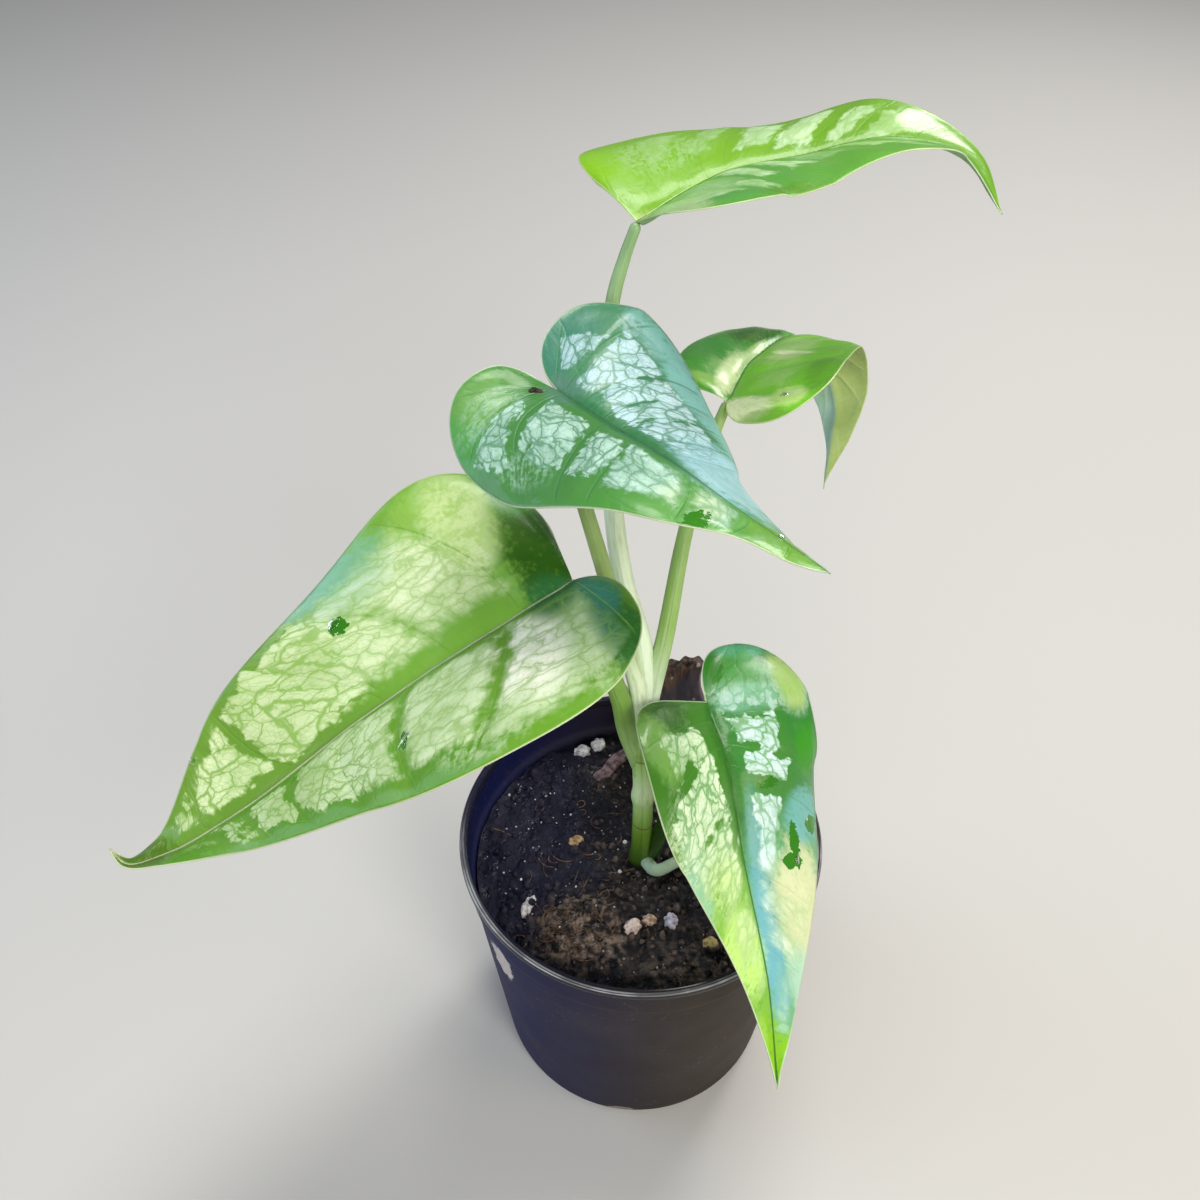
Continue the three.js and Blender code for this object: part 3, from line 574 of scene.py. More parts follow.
# What the finish of one half reads, in millimetres: the count of side veins passed, the gap between them, how
# far inside a silver patch a point is, how strong that patch is, how far from the leaf's edge the point is,
# and how far from the nearest side vein.
def bladeMarks(leaf, side, spine, t, u, x, y):
    veins, patches = leaf["veins"][side], leaf["patches"][side]
    edge = bladeEdge(leaf, side, spine["length"], np.linspace(0, 1, bladeForm["edgeSteps"]))
    margin = np.full(x.shape, 99.0)
    for (ax, ay), (bx, by) in zip(edge[:-1], edge[1:]):
        dx, dy = bx - ax, by - ay
        along = share((x - ax) * dx + (y - ay) * dy, 0, max(dx * dx + dy * dy, 1e-9))
        margin = np.minimum(margin, np.hypot(x - ax - along * dx, y - ay - along * dy))
    margin = np.where((u > 0.999) | (t < 1e-6), 0, margin)

    crossings = [atMidrib + (atEdge - atMidrib) * u**2 for atMidrib, atEdge, _ in veins]
    passed = sum(share(t, low, high) for low, high in zip(crossings[:-1], crossings[1:]))
    passed = passed + np.minimum(t - crossings[0], 0) * 8 + np.maximum(t - crossings[-1], 0) * 8
    gap = 1 / np.clip(steepness(passed, x, y), 0.02, 2)
    aways = [(t - crossing) / np.clip(steepness(t - crossing, x, y), 1e-4, 1) for crossing in crossings]

    reach = np.abs(x) / np.maximum(u, 0.02)
    inside = np.full(x.shape, -9.0)
    strength = np.zeros(x.shape)
    for k, (start, end, strong) in enumerate(patches):
        here = np.minimum(aways[k] - veins[k][2], -aways[k + 1] - veins[k + 1][2])
        here = np.minimum(here, np.minimum((u - start) * reach, (end - u) * reach))
        here = np.minimum(here, margin - bladeRelief["greenEdge"])
        strength = np.where(here > inside, strong, strength)
        inside = np.maximum(inside, here)
    nearest = np.min(np.abs(np.array(aways)), axis=0)
    return passed, np.clip(gap, 0.5, 30), inside, strength, margin, nearest


# A whole blade: both halves in one grid from the left edge to the right, raised a little between its side
# veins, grooved along the midrib, and given a thickness that thins to the edge and thickens under the veins.
def bladePiece(name, finishes, look):
    leaf = leaves[name]
    spine = bladeSpine(name)
    fanEnd, fanRows = bladeForm["fanEnd"], bladeForm["fanRows"]
    crowded = 1 - (1 - np.linspace(0, 1, bladeForm["rows"] + 1)) ** bladeForm["tipCrowding"]
    halves = []
    for side in (0, 1):
        first = bladeForm["lobeEnd"] if leaf["lobe"][side] < bladeForm["smallLobe"] else 0.0
        fan = np.linspace(first, fanEnd, fanRows, endpoint=False)
        steps = np.r_[fan, fanEnd + (1 - fanEnd) * crowded]
        t, u = np.meshgrid(steps, np.linspace(0, 1, bladeForm["columns"] + 1), indexing="ij")
        points, x, y = bladeHalf(leaf, side, spine, t, u)
        passed, gap, inside, strength, margin, nearest = bladeMarks(leaf, side, spine, t, u, x, y)
        flatX = x if side == 0 else -x
        marks = np.stack([flatX, y, margin, passed, gap, inside, strength, nearest], -1)
        halves.append(np.concatenate([points, marks], -1))
    grid = np.concatenate([halves[1][:, :0:-1], halves[0]], 1)
    rows, across, _ = grid.shape
    values = grid.reshape(rows * across, -1)
    kept, faces = welded(values[:, :3], gridFaces(rows, across))
    points = values[kept, :3]
    x, y, margin, passed, gap, inside, strength, nearest = values[kept, 3:].T

    form = bladeRelief
    along = share(y, 0, spine["length"])
    fading = eased(margin, 0, 3)
    relief = look["quilt"] * (1 - hump(nearest, form["hollowWidth"])) * fading * eased(np.abs(x), 0.5, 4)
    relief = relief - look["groove"] * hump(x, form["grooveWidth"]) * (1 - 0.6 * along) * eased(y, 0, 3)
    relief = relief + form["wave"] * drift(x, y, form["waveSize"], look["seed"]) * fading
    points = points + pointNormals(points, faces) * relief[:, None]

    thin, full = form["edgeThickness"], form["thickness"]
    half = 0.5 * (thin + (full - thin) * eased(margin, 0, 2))
    ending = eased(y, -0.5, 1.5) * eased(1 - along, 0, 0.1)
    rib = form["rib"] * hump(x, form["ribWidth"]) * (1 - 0.75 * along) * ending
    rib = rib + form["veinRib"] * hump(nearest, form["veinRibWidth"]) * eased(margin, 1, 5)
    points, faces, side = thickened(points, faces, half, half + rib)
    places = {
        "leafPlace": np.tile(np.stack([x, y, margin], 1), (2, 1)),
        "veinPlace": np.tile(np.stack([passed, gap, inside], 1), (2, 1)),
        "silver": np.tile(strength, 2),
    }
    return addPiece(name + "_blade", points, faces, finishes, ["leaf_" + name], "blade_" + name, side, places)


# Colours of each blade's upper side. Pairs are for the right and the left half.
# near and far: green at the stalk and towards the tip; silver: the patches; net: veins across the patches
# band: beside the side veins; midrib: the line along the middle; rim: the pale line round the edge
# cell, netWidth: size of the net's cells and half the width of its lines
# netStrength: how dark those lines are, near the stalk and far
# spacing: gap between side veins that the net is laid along; stretch: less than 1 makes its cells wider
# soft: for each half, how softly a patch ends near the stalk and far; wander: how far its ends stray
# turning: how far along the blade near turns into far; veinShow: how clearly the side veins show
# quilt, groove: how far the blade bulges between side veins and sinks at the midrib
# washes and glows: places on the flat blade where the green or the silver drifts: middle, half sizes, colour
# and strength. Some of them are painted light and shade, marked at each leaf.
# hazes: places where pale flecks show between the panels too: middle, half sizes, strength
# wet: spots where water has soaked the silver, so that the leaf is dark and glossy: middle, half sizes
bladeLooks = {
    "top": {
        "near": ("#4e923a", "#73a81c"), "far": ("#58962a", "#639618"), "silver": ("#b0d0a0", "#b0cca0"),
        "net": "#7fae50", "band": "#649c28", "midrib": "#539128", "rim": "#b5cf80", "cell": 2.2,
        "netWidth": 0.07, "netStrength": (0.35, 0.3), "spacing": 6.5, "soft": ((1.6, 1.0), (1.2, 0.7)),
        "turning": (5, 55), "quilt": 0.22, "groove": 0.35, "stretch": 0.55, "veinShow": 0.25,
        "wander": 2.5, "seed": 11,
        "washes": (((12, 2), (9, 4), "#9db77f", 0.9), ((23, 25), (4, 16), "#4f8308", 0.8),
                   ((-16, 4), (10, 6), "#7ab018", 0.9), ((1, 1), (2.5, 5), "#a8c070", 0.7),
                   ((9, 12), (8, 6), "#8fb874", 0.5)),
        "glows": (((-8, 40), (7, 9), "#c2dca8", 0.8), ((5, 46), (7, 6), "#96bc70", 0.8),
                  ((-3, 53), (5, 5), "#8fb46c", 0.9)),
        "hazes": (((-12, 14), (9, 10), 0.4), ((8, 10), (8, 5), 0.4)),
        "wet": (),
    },
    "middle": {
        # The left half's bluish near, far and silver colours are partly the leaf's own tint and partly a
        # painted reflection of blue light.
        "near": ("#427d3c", "#44805c"), "far": ("#4e8f33", "#4d8c6c"), "silver": ("#b2d4c4", "#b8d6de"),
        "net": "#4b8064", "band": "#3c7a48", "midrib": "#346b48", "rim": "#c6d2b8", "cell": 2.0,
        "netWidth": 0.07, "netStrength": (0.8, 0.45), "spacing": 6.5, "soft": ((0.35, 2.2), (0.35, 2.6)),
        "turning": (16, 42), "quilt": 0.28, "groove": 0.45, "stretch": 0.66, "veinShow": 0.9,
        "wander": 2.5, "seed": 12,
        # The washes round (-21, 15) and (-9, 34) are a painted reflection of blue light.
        "washes": (((1, 53), (7, 9), "#5f9522", 0.95), ((-21, 15), (5, 19), "#86c0bc", 0.85),
                   ((-9, 34), (12, 13), "#9cc8d4", 1.0), ((12, -6), (10, 5), "#6fa050", 0.6),
                   ((-8, -5), (10, 5), "#3f7c68", 0.8), ((0, 2), (4, 5), "#547c6a", 0.8),
                   ((0, 20), (2.2, 20), "#2f6e3c", 0.9), ((20, -2), (5, 9), "#499047", 0.7),
                   ((3, -5), (5, 5), "#2f7514", 0.6)),
        # The glow round (-10, 33) is partly the leaf's own bluish silver and partly a painted reflection of
        # blue light.
        "glows": (((-10, 33), (12, 12), "#a8d0de", 1.0), ((8, 38), (8, 6), "#b4cca0", 0.9)),
        "hazes": (((12, -3), (9, 5), 0.35), ((-18, 3), (4, 5), 0.5), ((18, 12), (4, 8), 0.4)),
        "wet": (((11.5, 40.2), (3.4, 1.9)),),
    },
    "left": {
        "near": ("#6fa335", "#649824"), "far": ("#64902e", "#57901c"), "silver": ("#d3e3b2", "#cde0b0"),
        "net": "#8fb45c", "band": "#6c9c34", "midrib": "#d8ddb0", "rim": "#c6cfa4", "cell": 2.6,
        "netWidth": 0.07, "netStrength": (0.5, 0.95), "spacing": 9.0, "soft": ((5.5, 0.6), (2.8, 0.4)),
        "turning": (32, 54), "quilt": 0.36, "groove": 0.4, "stretch": 0.85, "veinShow": 0.9,
        "wander": 3.5, "seed": 13,
        # Painted shadow of the middle leaf over the leaf's own darker green: the dark washes round (11, 1),
        # (-3, 5) and (-20, -4), and the dark teal one round (-9, -2), which is also a painted reflection of
        # blue light. The teal wash round (28, 40) is a painted reflection of blue light.
        "washes": (((11, 1), (17, 10), "#2a5806", 1.0), ((25, 3), (8, 5), "#4c9149", 0.9),
                   ((22, 13), (12, 7), "#aac878", 1.0), ((28, 40), (6, 14), "#75b099", 0.75),
                   ((-3, 5), (8, 6), "#2c6a34", 0.95), ((-20, -4), (10, 5), "#2d672c", 0.95),
                   ((-9, -2), (9, 5), "#2f7c6c", 0.9), ((0, 93), (5, 7), "#426600", 0.8),
                   ((28, 18), (5, 9), "#97c058", 0.5), ((-28, 30), (5, 9), "#4f8a06", 0.7)),
        # Among the glows, the near-white one round (-13, 12) is the silver brightened into a painted
        # highlight; the dark ones round (11, 3), (-1, 4) and (-14, -5) are painted shadow of the middle leaf,
        # the last also a painted reflection of blue light; the bluish one round (25, 38) is a painted
        # reflection of blue light.
        "glows": (((-13, 12), (14, 8), "#ffffea", 1.0), ((20, 25), (9, 8), "#e6f0c8", 0.8),
                  ((24, 14), (10, 7), "#c8dc9c", 0.9), ((11, 3), (15, 8), "#2a5806", 1.0),
                  ((-1, 4), (9, 6.5), "#2f6c30", 1.0), ((-14, -5), (18, 6), "#2f7250", 1.0),
                  ((25, 38), (7, 12), "#b4d0b8", 0.8), ((14, 58), (14, 14), "#bccf9a", 0.8),
                  ((-10, 62), (10, 9), "#b2c98c", 0.8)),
        "hazes": (((21, 14), (14, 8), 0.8), ((18, 44), (13, 16), 0.4), ((-27, 20), (5, 12), 0.6),
                  ((-22, 3), (8, 6), 0.6)),
        "wet": (((18, 42), (2, 1.7)), ((-16.5, 36.3), (2.3, 0.8))),
    },
    "right": {
        "near": ("#76c22c", "#4a9c34"), "far": ("#7abc2a", "#5faa28"), "silver": ("#bcd88c", "#c4dc98"),
        "net": "#8cc454", "band": "#7cb848", "midrib": "#5c9c34", "rim": "#a8c878", "cell": 2.4,
        "netWidth": 0.06, "netStrength": (0.1, 0.1), "spacing": 5.0, "soft": ((3.0, 2.5), (2.4, 2.2)),
        "turning": (5, 55), "quilt": 0.3, "groove": 0.45, "stretch": 0.6, "veinShow": 0.2, "wander": 2.0,
        "seed": 14,
        "washes": (((17, 10), (4, 11), "#62a41c", 0.9), ((-7, 17), (6, 8), "#469738", 0.9),
                   ((-5, 29), (7, 8), "#2c6510", 0.95), ((-5, 38), (6, 4), "#55833b", 0.7),
                   ((-6, 45), (5, 3), "#98d155", 0.9), ((-2, 51), (6, 3), "#63a808", 0.9),
                   ((5, 27), (6, 6), "#a8cf7b", 0.7), ((6, 19), (4, 3), "#d1e895", 0.8),
                   # The pale streak round (7, 22) and the white spot round (12.5, 1) are painted highlights,
                   # glints on the glossy blade.
                   ((4, -3), (7, 4.5), "#eef6c4", 1.0), ((7, 22), (5, 1.8), "#eef6c4", 0.95),
                   ((12.5, 1), (2.2, 1.3), "#ffffff", 1.0), ((12, 0), (4, 4), "#c4e484", 0.9),
                   ((-6, 3), (4, 3), "#93c950", 0.8), ((-2.4, 9), (2.6, 10), "#d8e8ac", 0.95),
                   ((-1.2, 20), (1.6, 9), "#c4dc98", 0.7), ((10, -6), (7, 2.2), "#6a9c34", 0.7)),
        "hazes": (((4, -2), (7, 5), 0.25), ((6, 20), (6, 12), 0.4), ((-3, 12), (3, 10), 0.5)),
        "glows": (),
        "wet": (),
    },
    "front": {
        # The left half's bluish far and silver colours are partly the leaf's own tint and partly a painted
        # reflection of blue light.
        "near": ("#3d781b", "#2c762a"), "far": ("#79b03a", "#6aa878"), "silver": ("#dcefcc", "#c8dfe0"),
        "net": "#5c9c50", "band": "#447f28", "midrib": "#346f2c", "rim": "#cbd8b8", "cell": 2.0,
        "netWidth": 0.07, "netStrength": (0.8, 0.3), "spacing": 6.0, "soft": ((0.4, 2.6), (0.3, 3.0)),
        "turning": (18, 42), "quilt": 0.32, "groove": 0.45, "stretch": 0.55, "veinShow": 0.6,
        "wander": 5.5, "seed": 15,
        # The teal washes round (-4, 36), (-2.5, 50), (-18, 27), (-9, 56) and (-9, 1), and the glow round (-5,
        # 60), are partly the leaf's own bluish tint and partly a painted reflection of blue light.
        "washes": (((-4, 36), (4, 20), "#5a9a98", 0.95), ((-2.5, 50), (3, 17), "#6aa8b4", 0.95),
                   ((-13, 44), (9, 15), "#bfc89a", 1.0), ((-18, 27), (7, 6), "#6aa8a4", 0.9),
                   ((-22, 13), (5, 8), "#2f8a10", 0.95), ((6, 50), (7, 10), "#b8e078", 0.95),
                   ((0, 70), (7, 9), "#7cb408", 0.97), ((-9, 56), (5, 7), "#a4ccb4", 0.9),
                   ((-20, -3), (5, 8), "#94b464", 1.0), ((14, 4), (8, 5), "#2a560c", 0.85),
                   ((-12, -11), (7, 3), "#5aae84", 0.8), ((-9, 1), (8, 4), "#8cc4b0", 0.8),
                   ((0.5, 18), (3, 20), "#2c6a14", 0.8), ((-10, 13), (9, 14), "#3c7c2c", 0.8),
                   ((-5, -7), (5, 4), "#2f7818", 0.9), ((18, 10), (5, 7), "#85b45a", 0.6),
                   ((17, 36), (4, 15), "#8cc0a0", 0.8)),
        "glows": (((8, 44), (10, 16), "#cfe89c", 0.9), ((-13, 45), (10, 15), "#d4d8b0", 1.0),
                  ((-9, -8.5), (14, 8.5), "#4f9e4c", 1.0), ((-20, -3), (5, 8), "#9cbc68", 1.0),
                  ((-5, 60), (6, 9), "#a5c8bc", 0.9)),
        "hazes": (((-20, -1), (6, 7), 0.6), ((18, 27), (5, 11), 0.7), ((9, 36), (8, 10), 0.6),
                  ((-13, 44), (8, 12), 0.5)),
        "wet": (((-20.5, 29.6), (2.6, 1.5)), ((-12.6, 35), (3.0, 1.6)), ((-14, 31.5), (1.4, 3.4)),
                ((-8.3, 19), (2.8, 1.3))),
    },
}


# Lines that follow the side veins: 1 on a vein, and falling to 0 from near to far, in millimetres.
def veinLines(s, passed, gap, near, far):
    return 1 - s.eased(abs(passed - s.maths("ROUND", passed)) * gap, near, far)


# Upper side. The net's cells follow the side veins. Silver patches fade from their middles to their ragged
# ends, cell by cell, and the net's lines cross them in three sizes.
def bladeFinish(name):
    look = bladeLooks[name]
    s = Finish("blade_" + name, Coat_Weight=0.2, Coat_Roughness=0.13, Specular_IOR_Level=0.3)
    x, y, margin = s.split(s.kept("leafPlace"))
    passed, gap, inside = s.split(s.kept("veinPlace"))
    strength = s.kept("silver", "Fac")
    flat = s.join(x, y, float(look["seed"]))
    leftHalf = s.eased(x, 0.3, -0.3)
    towardTip = s.eased(y, *look["turning"])
    mottle, broad = s.clouds(flat, 0.9, 4), s.clouds(flat, 9, 3)
    streaks = s.clouds(s.join(x * 0.35, passed * look["spacing"] * 2.2, leftHalf * 9), 1.0, 4)
    mottled, broadened, streaked = mottle - 0.5, broad - 0.5, streaks - 0.5

    # The net: distance from its lines in three sizes of cell, and the lines themselves.
    cell, width = look["cell"], look["netWidth"]
    laid = s.join(x * look["stretch"], passed * look["spacing"], leftHalf * 40)
    laid = s.moved(laid, s.clouds(flat, 5.0, 2, "Color"), 1.6)
    laid = s.moved(laid, s.clouds(flat, 1.3, 3, "Color"), 0.7)
    mainOff, fineOff, wideOff = (
        s.cells(laid, size, "DISTANCE_TO_EDGE") * size for size in (cell, 0.42 * cell, 2.7 * cell))
    chance = s.split(s.cells(laid, cell, "F1", "Color"))[0]
    mainNet = 1 - s.eased(mainOff, 0.3 * width, 1.9 * width)
    fineNet = (1 - s.eased(fineOff, 0.2 * width, 1.3 * width)) * 0.4
    wideNet = 1 - s.eased(wideOff, 0.5 * width, 4.2 * width)
    hollow = 1 - s.eased(mainOff, 0.0, 0.32 * cell)
    veinLine = veinLines(s, passed, gap, 0.06, 0.3) * s.eased(margin, 0.3, 2.5) * s.eased(abs(x), 0.5, 1.5)
    veinLine = veinLine * look["veinShow"]

    # The silver: patches with ragged ends, crossed by the net, and flecks in the hazes.
    (rightNear, rightFar), (leftNear, leftFar) = look["soft"]
    softNear = rightNear + (leftNear - rightNear) * leftHalf
    softFar = rightFar + (leftFar - rightFar) * leftHalf
    ragged = inside + (chance - 0.45) * 1.1 + (s.clouds(flat, 1.5, 3) - 0.5) * 2.2 + streaked * 1.4
    ragged = ragged + (s.clouds(flat, 4.5, 2) - 0.5) * look["wander"]
    patch = s.eased(ragged, -0.2, softNear + (softFar - softNear) * towardTip) * strength
    netNear, netFar = look["netStrength"]
    crossed = s.most(s.most(mainNet, wideNet), fineNet) * (netNear + (netFar - netNear) * towardTip)
    silver = patch * (1 - crossed) * (1 - 0.3 * hollow) * (0.84 + 0.2 * chance) * (0.8 + 0.4 * mottle)
    silver = silver * (0.8 + 0.4 * s.eased(broad + 0.5 * streaked, 0.3, 0.62))
    hazed = 0.0
    for middle, halfSizes, strong in look["hazes"]:
        away = s.away((x, y), middle, halfSizes) + broadened * 0.9
        hazed = s.most(hazed, s.eased(away, 1.1, 0.1) * strong)
    flecks = s.eased(0.55 * mottle + 0.6 * streaks + 0.1 * chance, 0.5, 0.72)
    silver = s.most(silver, hazed * flecks * (1 - 0.8 * crossed))

    # The green under and between the patches.
    green = s.mix(s.mix(*look["near"], leftHalf), s.mix(*look["far"], leftHalf), towardTip)
    green = s.mix(green, look["net"], s.eased(broad + 0.3 * streaked, 0.5, 0.8) * 0.3)
    frayed = broadened * 0.9 + streaked * 0.9 + mottled * 0.7
    for middle, halfSizes, colour, strong in look["washes"]:
        away = s.away((x, y), middle, halfSizes) + frayed
        green = s.mix(green, colour, s.eased(away, 1.1, 0.2) * strong)
    green = s.mix(green, look["band"], s.eased(0.5 * mottle + 0.5 * streaks, 0.5, 0.72) * 0.35)
    green = s.mix(green, look["net"], patch * 0.75)
    green = s.mix(green, look["band"], veinLine * (0.65 - 0.45 * towardTip))

    pale = s.mix(*look["silver"], leftHalf)
    for middle, halfSizes, colour, strong in look["glows"]:
        away = s.away((x, y), middle, halfSizes) + broadened * 0.6
        pale = s.mix(pale, colour, s.eased(away, 1.3, 0.1) * strong)
    wetness = 0.0
    for middle, halfSizes in look["wet"]:
        away = s.away((x, y), middle, halfSizes) + 2.8 * (s.clouds(flat, 1.2, 3) - 0.5)
        wetness = s.most(wetness, s.eased(away, 1.0, 0.9))
    colour = s.mix(green, pale, s.least(silver, 1.0))
    colour = s.mix(colour, "#2f7414", wetness)
    rib = (1 - s.eased(abs(x), 0.1, 0.32)) * s.eased(y, -0.5, 3)
    colour = s.mix(colour, look["midrib"], rib * 0.85)
    colour = s.mix(colour, look["rim"], (1 - s.eased(margin, 0.05, 0.3)) * 0.7)

    roughness = (0.3 + 0.14 * silver + 0.12 * mottle) * (1 - 0.8 * wetness)
    relief = 0.05 * s.least(mainOff, 0.5) - 0.07 * veinLine - 0.03 * wideNet + 0.05 * mottle + 0.12 * wetness
    return s.close(colour, roughness, relief)


# Colours of the undersides. green is a pair for the right and the left half.
underLooks = {
    "right": {"green": ("#c2d07c", "#a8cac2"), "shade": "#7f9c50", "vein": "#c4d09c"},
    "others": {"green": ("#8fb083", "#8fb083"), "shade": "#7a9c70", "vein": "#a9c79a"},
}


# Underside: dull green, darker in clouds and towards the stalk, with pale side veins and a faint net. The
# darkening towards the stalk is painted shade by the crease where the right blade folds over.
def underFinish(name):
    look = underLooks[name]
    s = Finish("underside_" + name, Coat_Weight=0.05, Specular_IOR_Level=0.4)
    x, y, _ = s.split(s.kept("leafPlace"))
    passed, gap, _ = s.split(s.kept("veinPlace"))
    flat = s.join(x, y)
    vein = veinLines(s, passed, gap, 0.15, 0.45)
    wavy = s.moved(flat, s.clouds(flat, 2.6, 2, "Color"), 1.3)
    net = 1 - s.eased(s.cells(wavy, 2.1, "DISTANCE_TO_EDGE"), 0.02, 0.12)
    colour = s.mix(*look["green"], s.eased(x, 0.6, -0.6))
    colour = s.mix(colour, look["shade"], s.clouds(flat, 6, 3) * 0.7)
    # Painted shade: darker towards the stalk, by the crease where the right blade folds over.
    colour = s.mix(colour, look["shade"], s.eased(y, 60, 40) * 0.5)
    colour = s.mix(colour, look["vein"], s.most(vein * 0.26, net * 0.14))
    return s.close(colour, 0.5 + 0.1 * s.clouds(flat, 1.0), 0.05 * vein + 0.03 * net)


# The thin pale rim that closes the blade's edge.
def rimFinish():
    s = Finish("blade_rim", Specular_IOR_Level=0.5)
    here = s.place()
    return s.close(s.mix("#d5dfb9", "#a9bf83", s.clouds(here, 5, 2)), 0.4 + 0.1 * s.clouds(here, 1.5))


rim = rimFinish()
unders = {name: underFinish(name) for name in underLooks}
for leafName in leaves:
    under = unders.get(leafName, unders["others"])
    bladePiece(leafName, [bladeFinish(leafName), under, rim], bladeLooks[leafName])
    print("blade", leafName)


# Stem, stalks and root

# A swelling is the share of the length where it sits, its width and its height.
stem = {
    "path": [(0.6, 0, 50), (0.4, 0, 62), (0.3, 0.5, 85), (-0.5, 1.5, 102), (-0.7, 2, 109)],
    "radius": (2.2, 2.3, 2.2, 2.1, 1.5),
    "swellings": ((0.2, 2.4, 0.6), (0.58, 2, 0.45), (0.83, 1.8, 0.4)),
    "wings": (), "sides": 40, "steps": 160,
}

# Points and radii of each leaf stalk, from the stem up to just short of the blade. The last radius is for the
# seat under the blade. A wing is where it stands round the stalk in degrees, its height, and the shares of
# the length where it starts and ends.
stalks = {
    "top": {
        "path": [(-0.4, 2.6, 104), (0, 3, 113), (-0.8, 6.5, 125), (-4.1, 13, 134.6), (-6.3, 20.5, 146.6),
                 (-7.3, 31, 165.8), (-6.8, 38.4, 181.5), (-4.5, 41.3, 189.8)],
        "radius": (2, 2.1, 2.1, 2, 1.9, 1.65, 1.45, 1.35, 1),
        "wings": ((200, 0.5, 0.05, 0.3),),
    },
    "middle": {
        "path": [(-0.9, 2.2, 107), (-1.6, 2, 117.5), (-3.6, 3, 126.5), (-7.8, 5, 144.5), (-12, 9, 159.6),
                 (-15.5, 14.5, 171)],
        "radius": (1.7, 1.8, 1.8, 1.6, 1.45, 1.35, 1),
        "wings": ((150, 0.4, 0.05, 0.36),),
    },
    "left": {
        "path": [(-0.6, 1.6, 94), (-3.5, 1, 106), (-4.9, 0, 116.1), (-7.8, -0.6, 127.5), (-11.4, -1, 140)],
        "radius": (2, 2.1, 2, 1.8, 1.6, 1),
        "wings": ((140, 0.5, 0.05, 0.45),),
    },
    "right": {
        "path": [(0.2, 3, 103), (1.3, 3.6, 114), (3.8, 7.6, 126.5), (7.7, 20, 143.5), (13.2, 31, 159)],
        "radius": (1.85, 1.9, 1.75, 1.55, 1.35, 1),
        "wings": ((185, 0.75, 0.1, 0.6),),
    },
    "front": {
        "path": [(1.2, 0, 58), (3.2, -0.4, 66), (5.6, 0, 76), (9.6, 2, 93), (12.1, 3.9, 105)],
        "radius": (1.7, 1.8, 1.7, 1.5, 1.4, 1),
        "wings": ((160, 0.4, 0.05, 0.5),),
    },
}
stalkForm = {"swellings": (), "sides": 48, "steps": 140, "shortOfBlade": 0.95, "underBlade": 0.2}

aerialRoot = {
    "path": [(1.2, -1.2, 62.6), (3.6, -5, 63.6), (8.6, -3, 64.2), (14, 1, 62.6), (17.5, 3.6, 57.5)],
    "radius": (1.6, 1.35, 1.25, 1.1, 0.8),
    "swellings": (), "wings": (), "sides": 32, "steps": 90,
}

# The rounded ends of a rod, in degrees from its flat end, how much its radius is smoothed along it, the width
# of a wing in degrees, and the shares of the length over which a wing rises and falls.
rodForm = {"ends": (75, 50, 25), "smoothing": 6, "wingWidth": 17, "wingRise": 0.2, "wingFall": 0.015}


# A round rod carried along a path: the radius runs between its stations, swells in humps at the nodes, and
# closes at both ends on a quarter circle. A wing is a thin ridge on one side. Kept at each point: millimetres
# along, angle round, and share of the length.
def rodSurface(rod):
    sides, steps, smoothing = rod["sides"], rod["steps"], rodForm["smoothing"]
    line = pathFrames(rod["path"], steps + 1, (0, -1, 0))
    f = np.linspace(0, 1, steps + 1)
    radius = np.interp(f, np.linspace(0, 1, len(rod["radius"])), rod["radius"])
    window = 2 * smoothing + 1
    radius = np.convolve(np.pad(radius, smoothing, "edge"), np.full(window, 1 / window), "valid")
    for at, width, swell in rod["swellings"]:
        radius = radius + swell * hump((f - at) * line["length"], width)

    turn = np.radians(rodForm["ends"])
    extra = len(turn)
    places, directions, normals = (
        np.pad(line[key], ((extra, extra), (0, 0)), "edge") for key in ("places", "directions", "normals"))
    beyond = np.r_[-radius[0] * np.sin(turn), np.zeros(len(f)), radius[-1] * np.sin(turn[::-1])]
    places = places + directions * beyond[:, None]
    radius = np.r_[radius[0] * np.cos(turn), radius, radius[-1] * np.cos(turn[::-1])]
    full = np.pad(f, extra, "edge")

    across = np.cross(directions, normals)
    angle = np.linspace(0, 2 * np.pi, sides, endpoint=False)
    ring = normals[:, None] * np.cos(angle)[:, None] + across[:, None] * np.sin(angle)[:, None]
    reach = np.repeat(radius[:, None], sides, 1)
    for bearing, height, start, end in rod["wings"]:
        away = (np.degrees(angle) - bearing + 180) % 360 - 180
        rising = eased(full, start, start + rodForm["wingRise"])
        rise = height * rising * (1 - eased(full, end - rodForm["wingFall"], end))
        reach = reach + rise[:, None] * hump(away, rodForm["wingWidth"])[None, :]
    points = (places[:, None] + ring * reach[:, :, None]).reshape(-1, 3)
    first, last = places[0] - directions[0] * 0.02, places[-1] + directions[-1] * 0.02
    part = np.r_[np.repeat(full, sides), 0, 1]
    bearings = np.r_[np.tile(angle, len(places)), 0, 0]
    marks = np.stack([part * line["length"], bearings, part], 1)
    return np.vstack([points, first, last]), tubeFaces(len(places), sides), marks


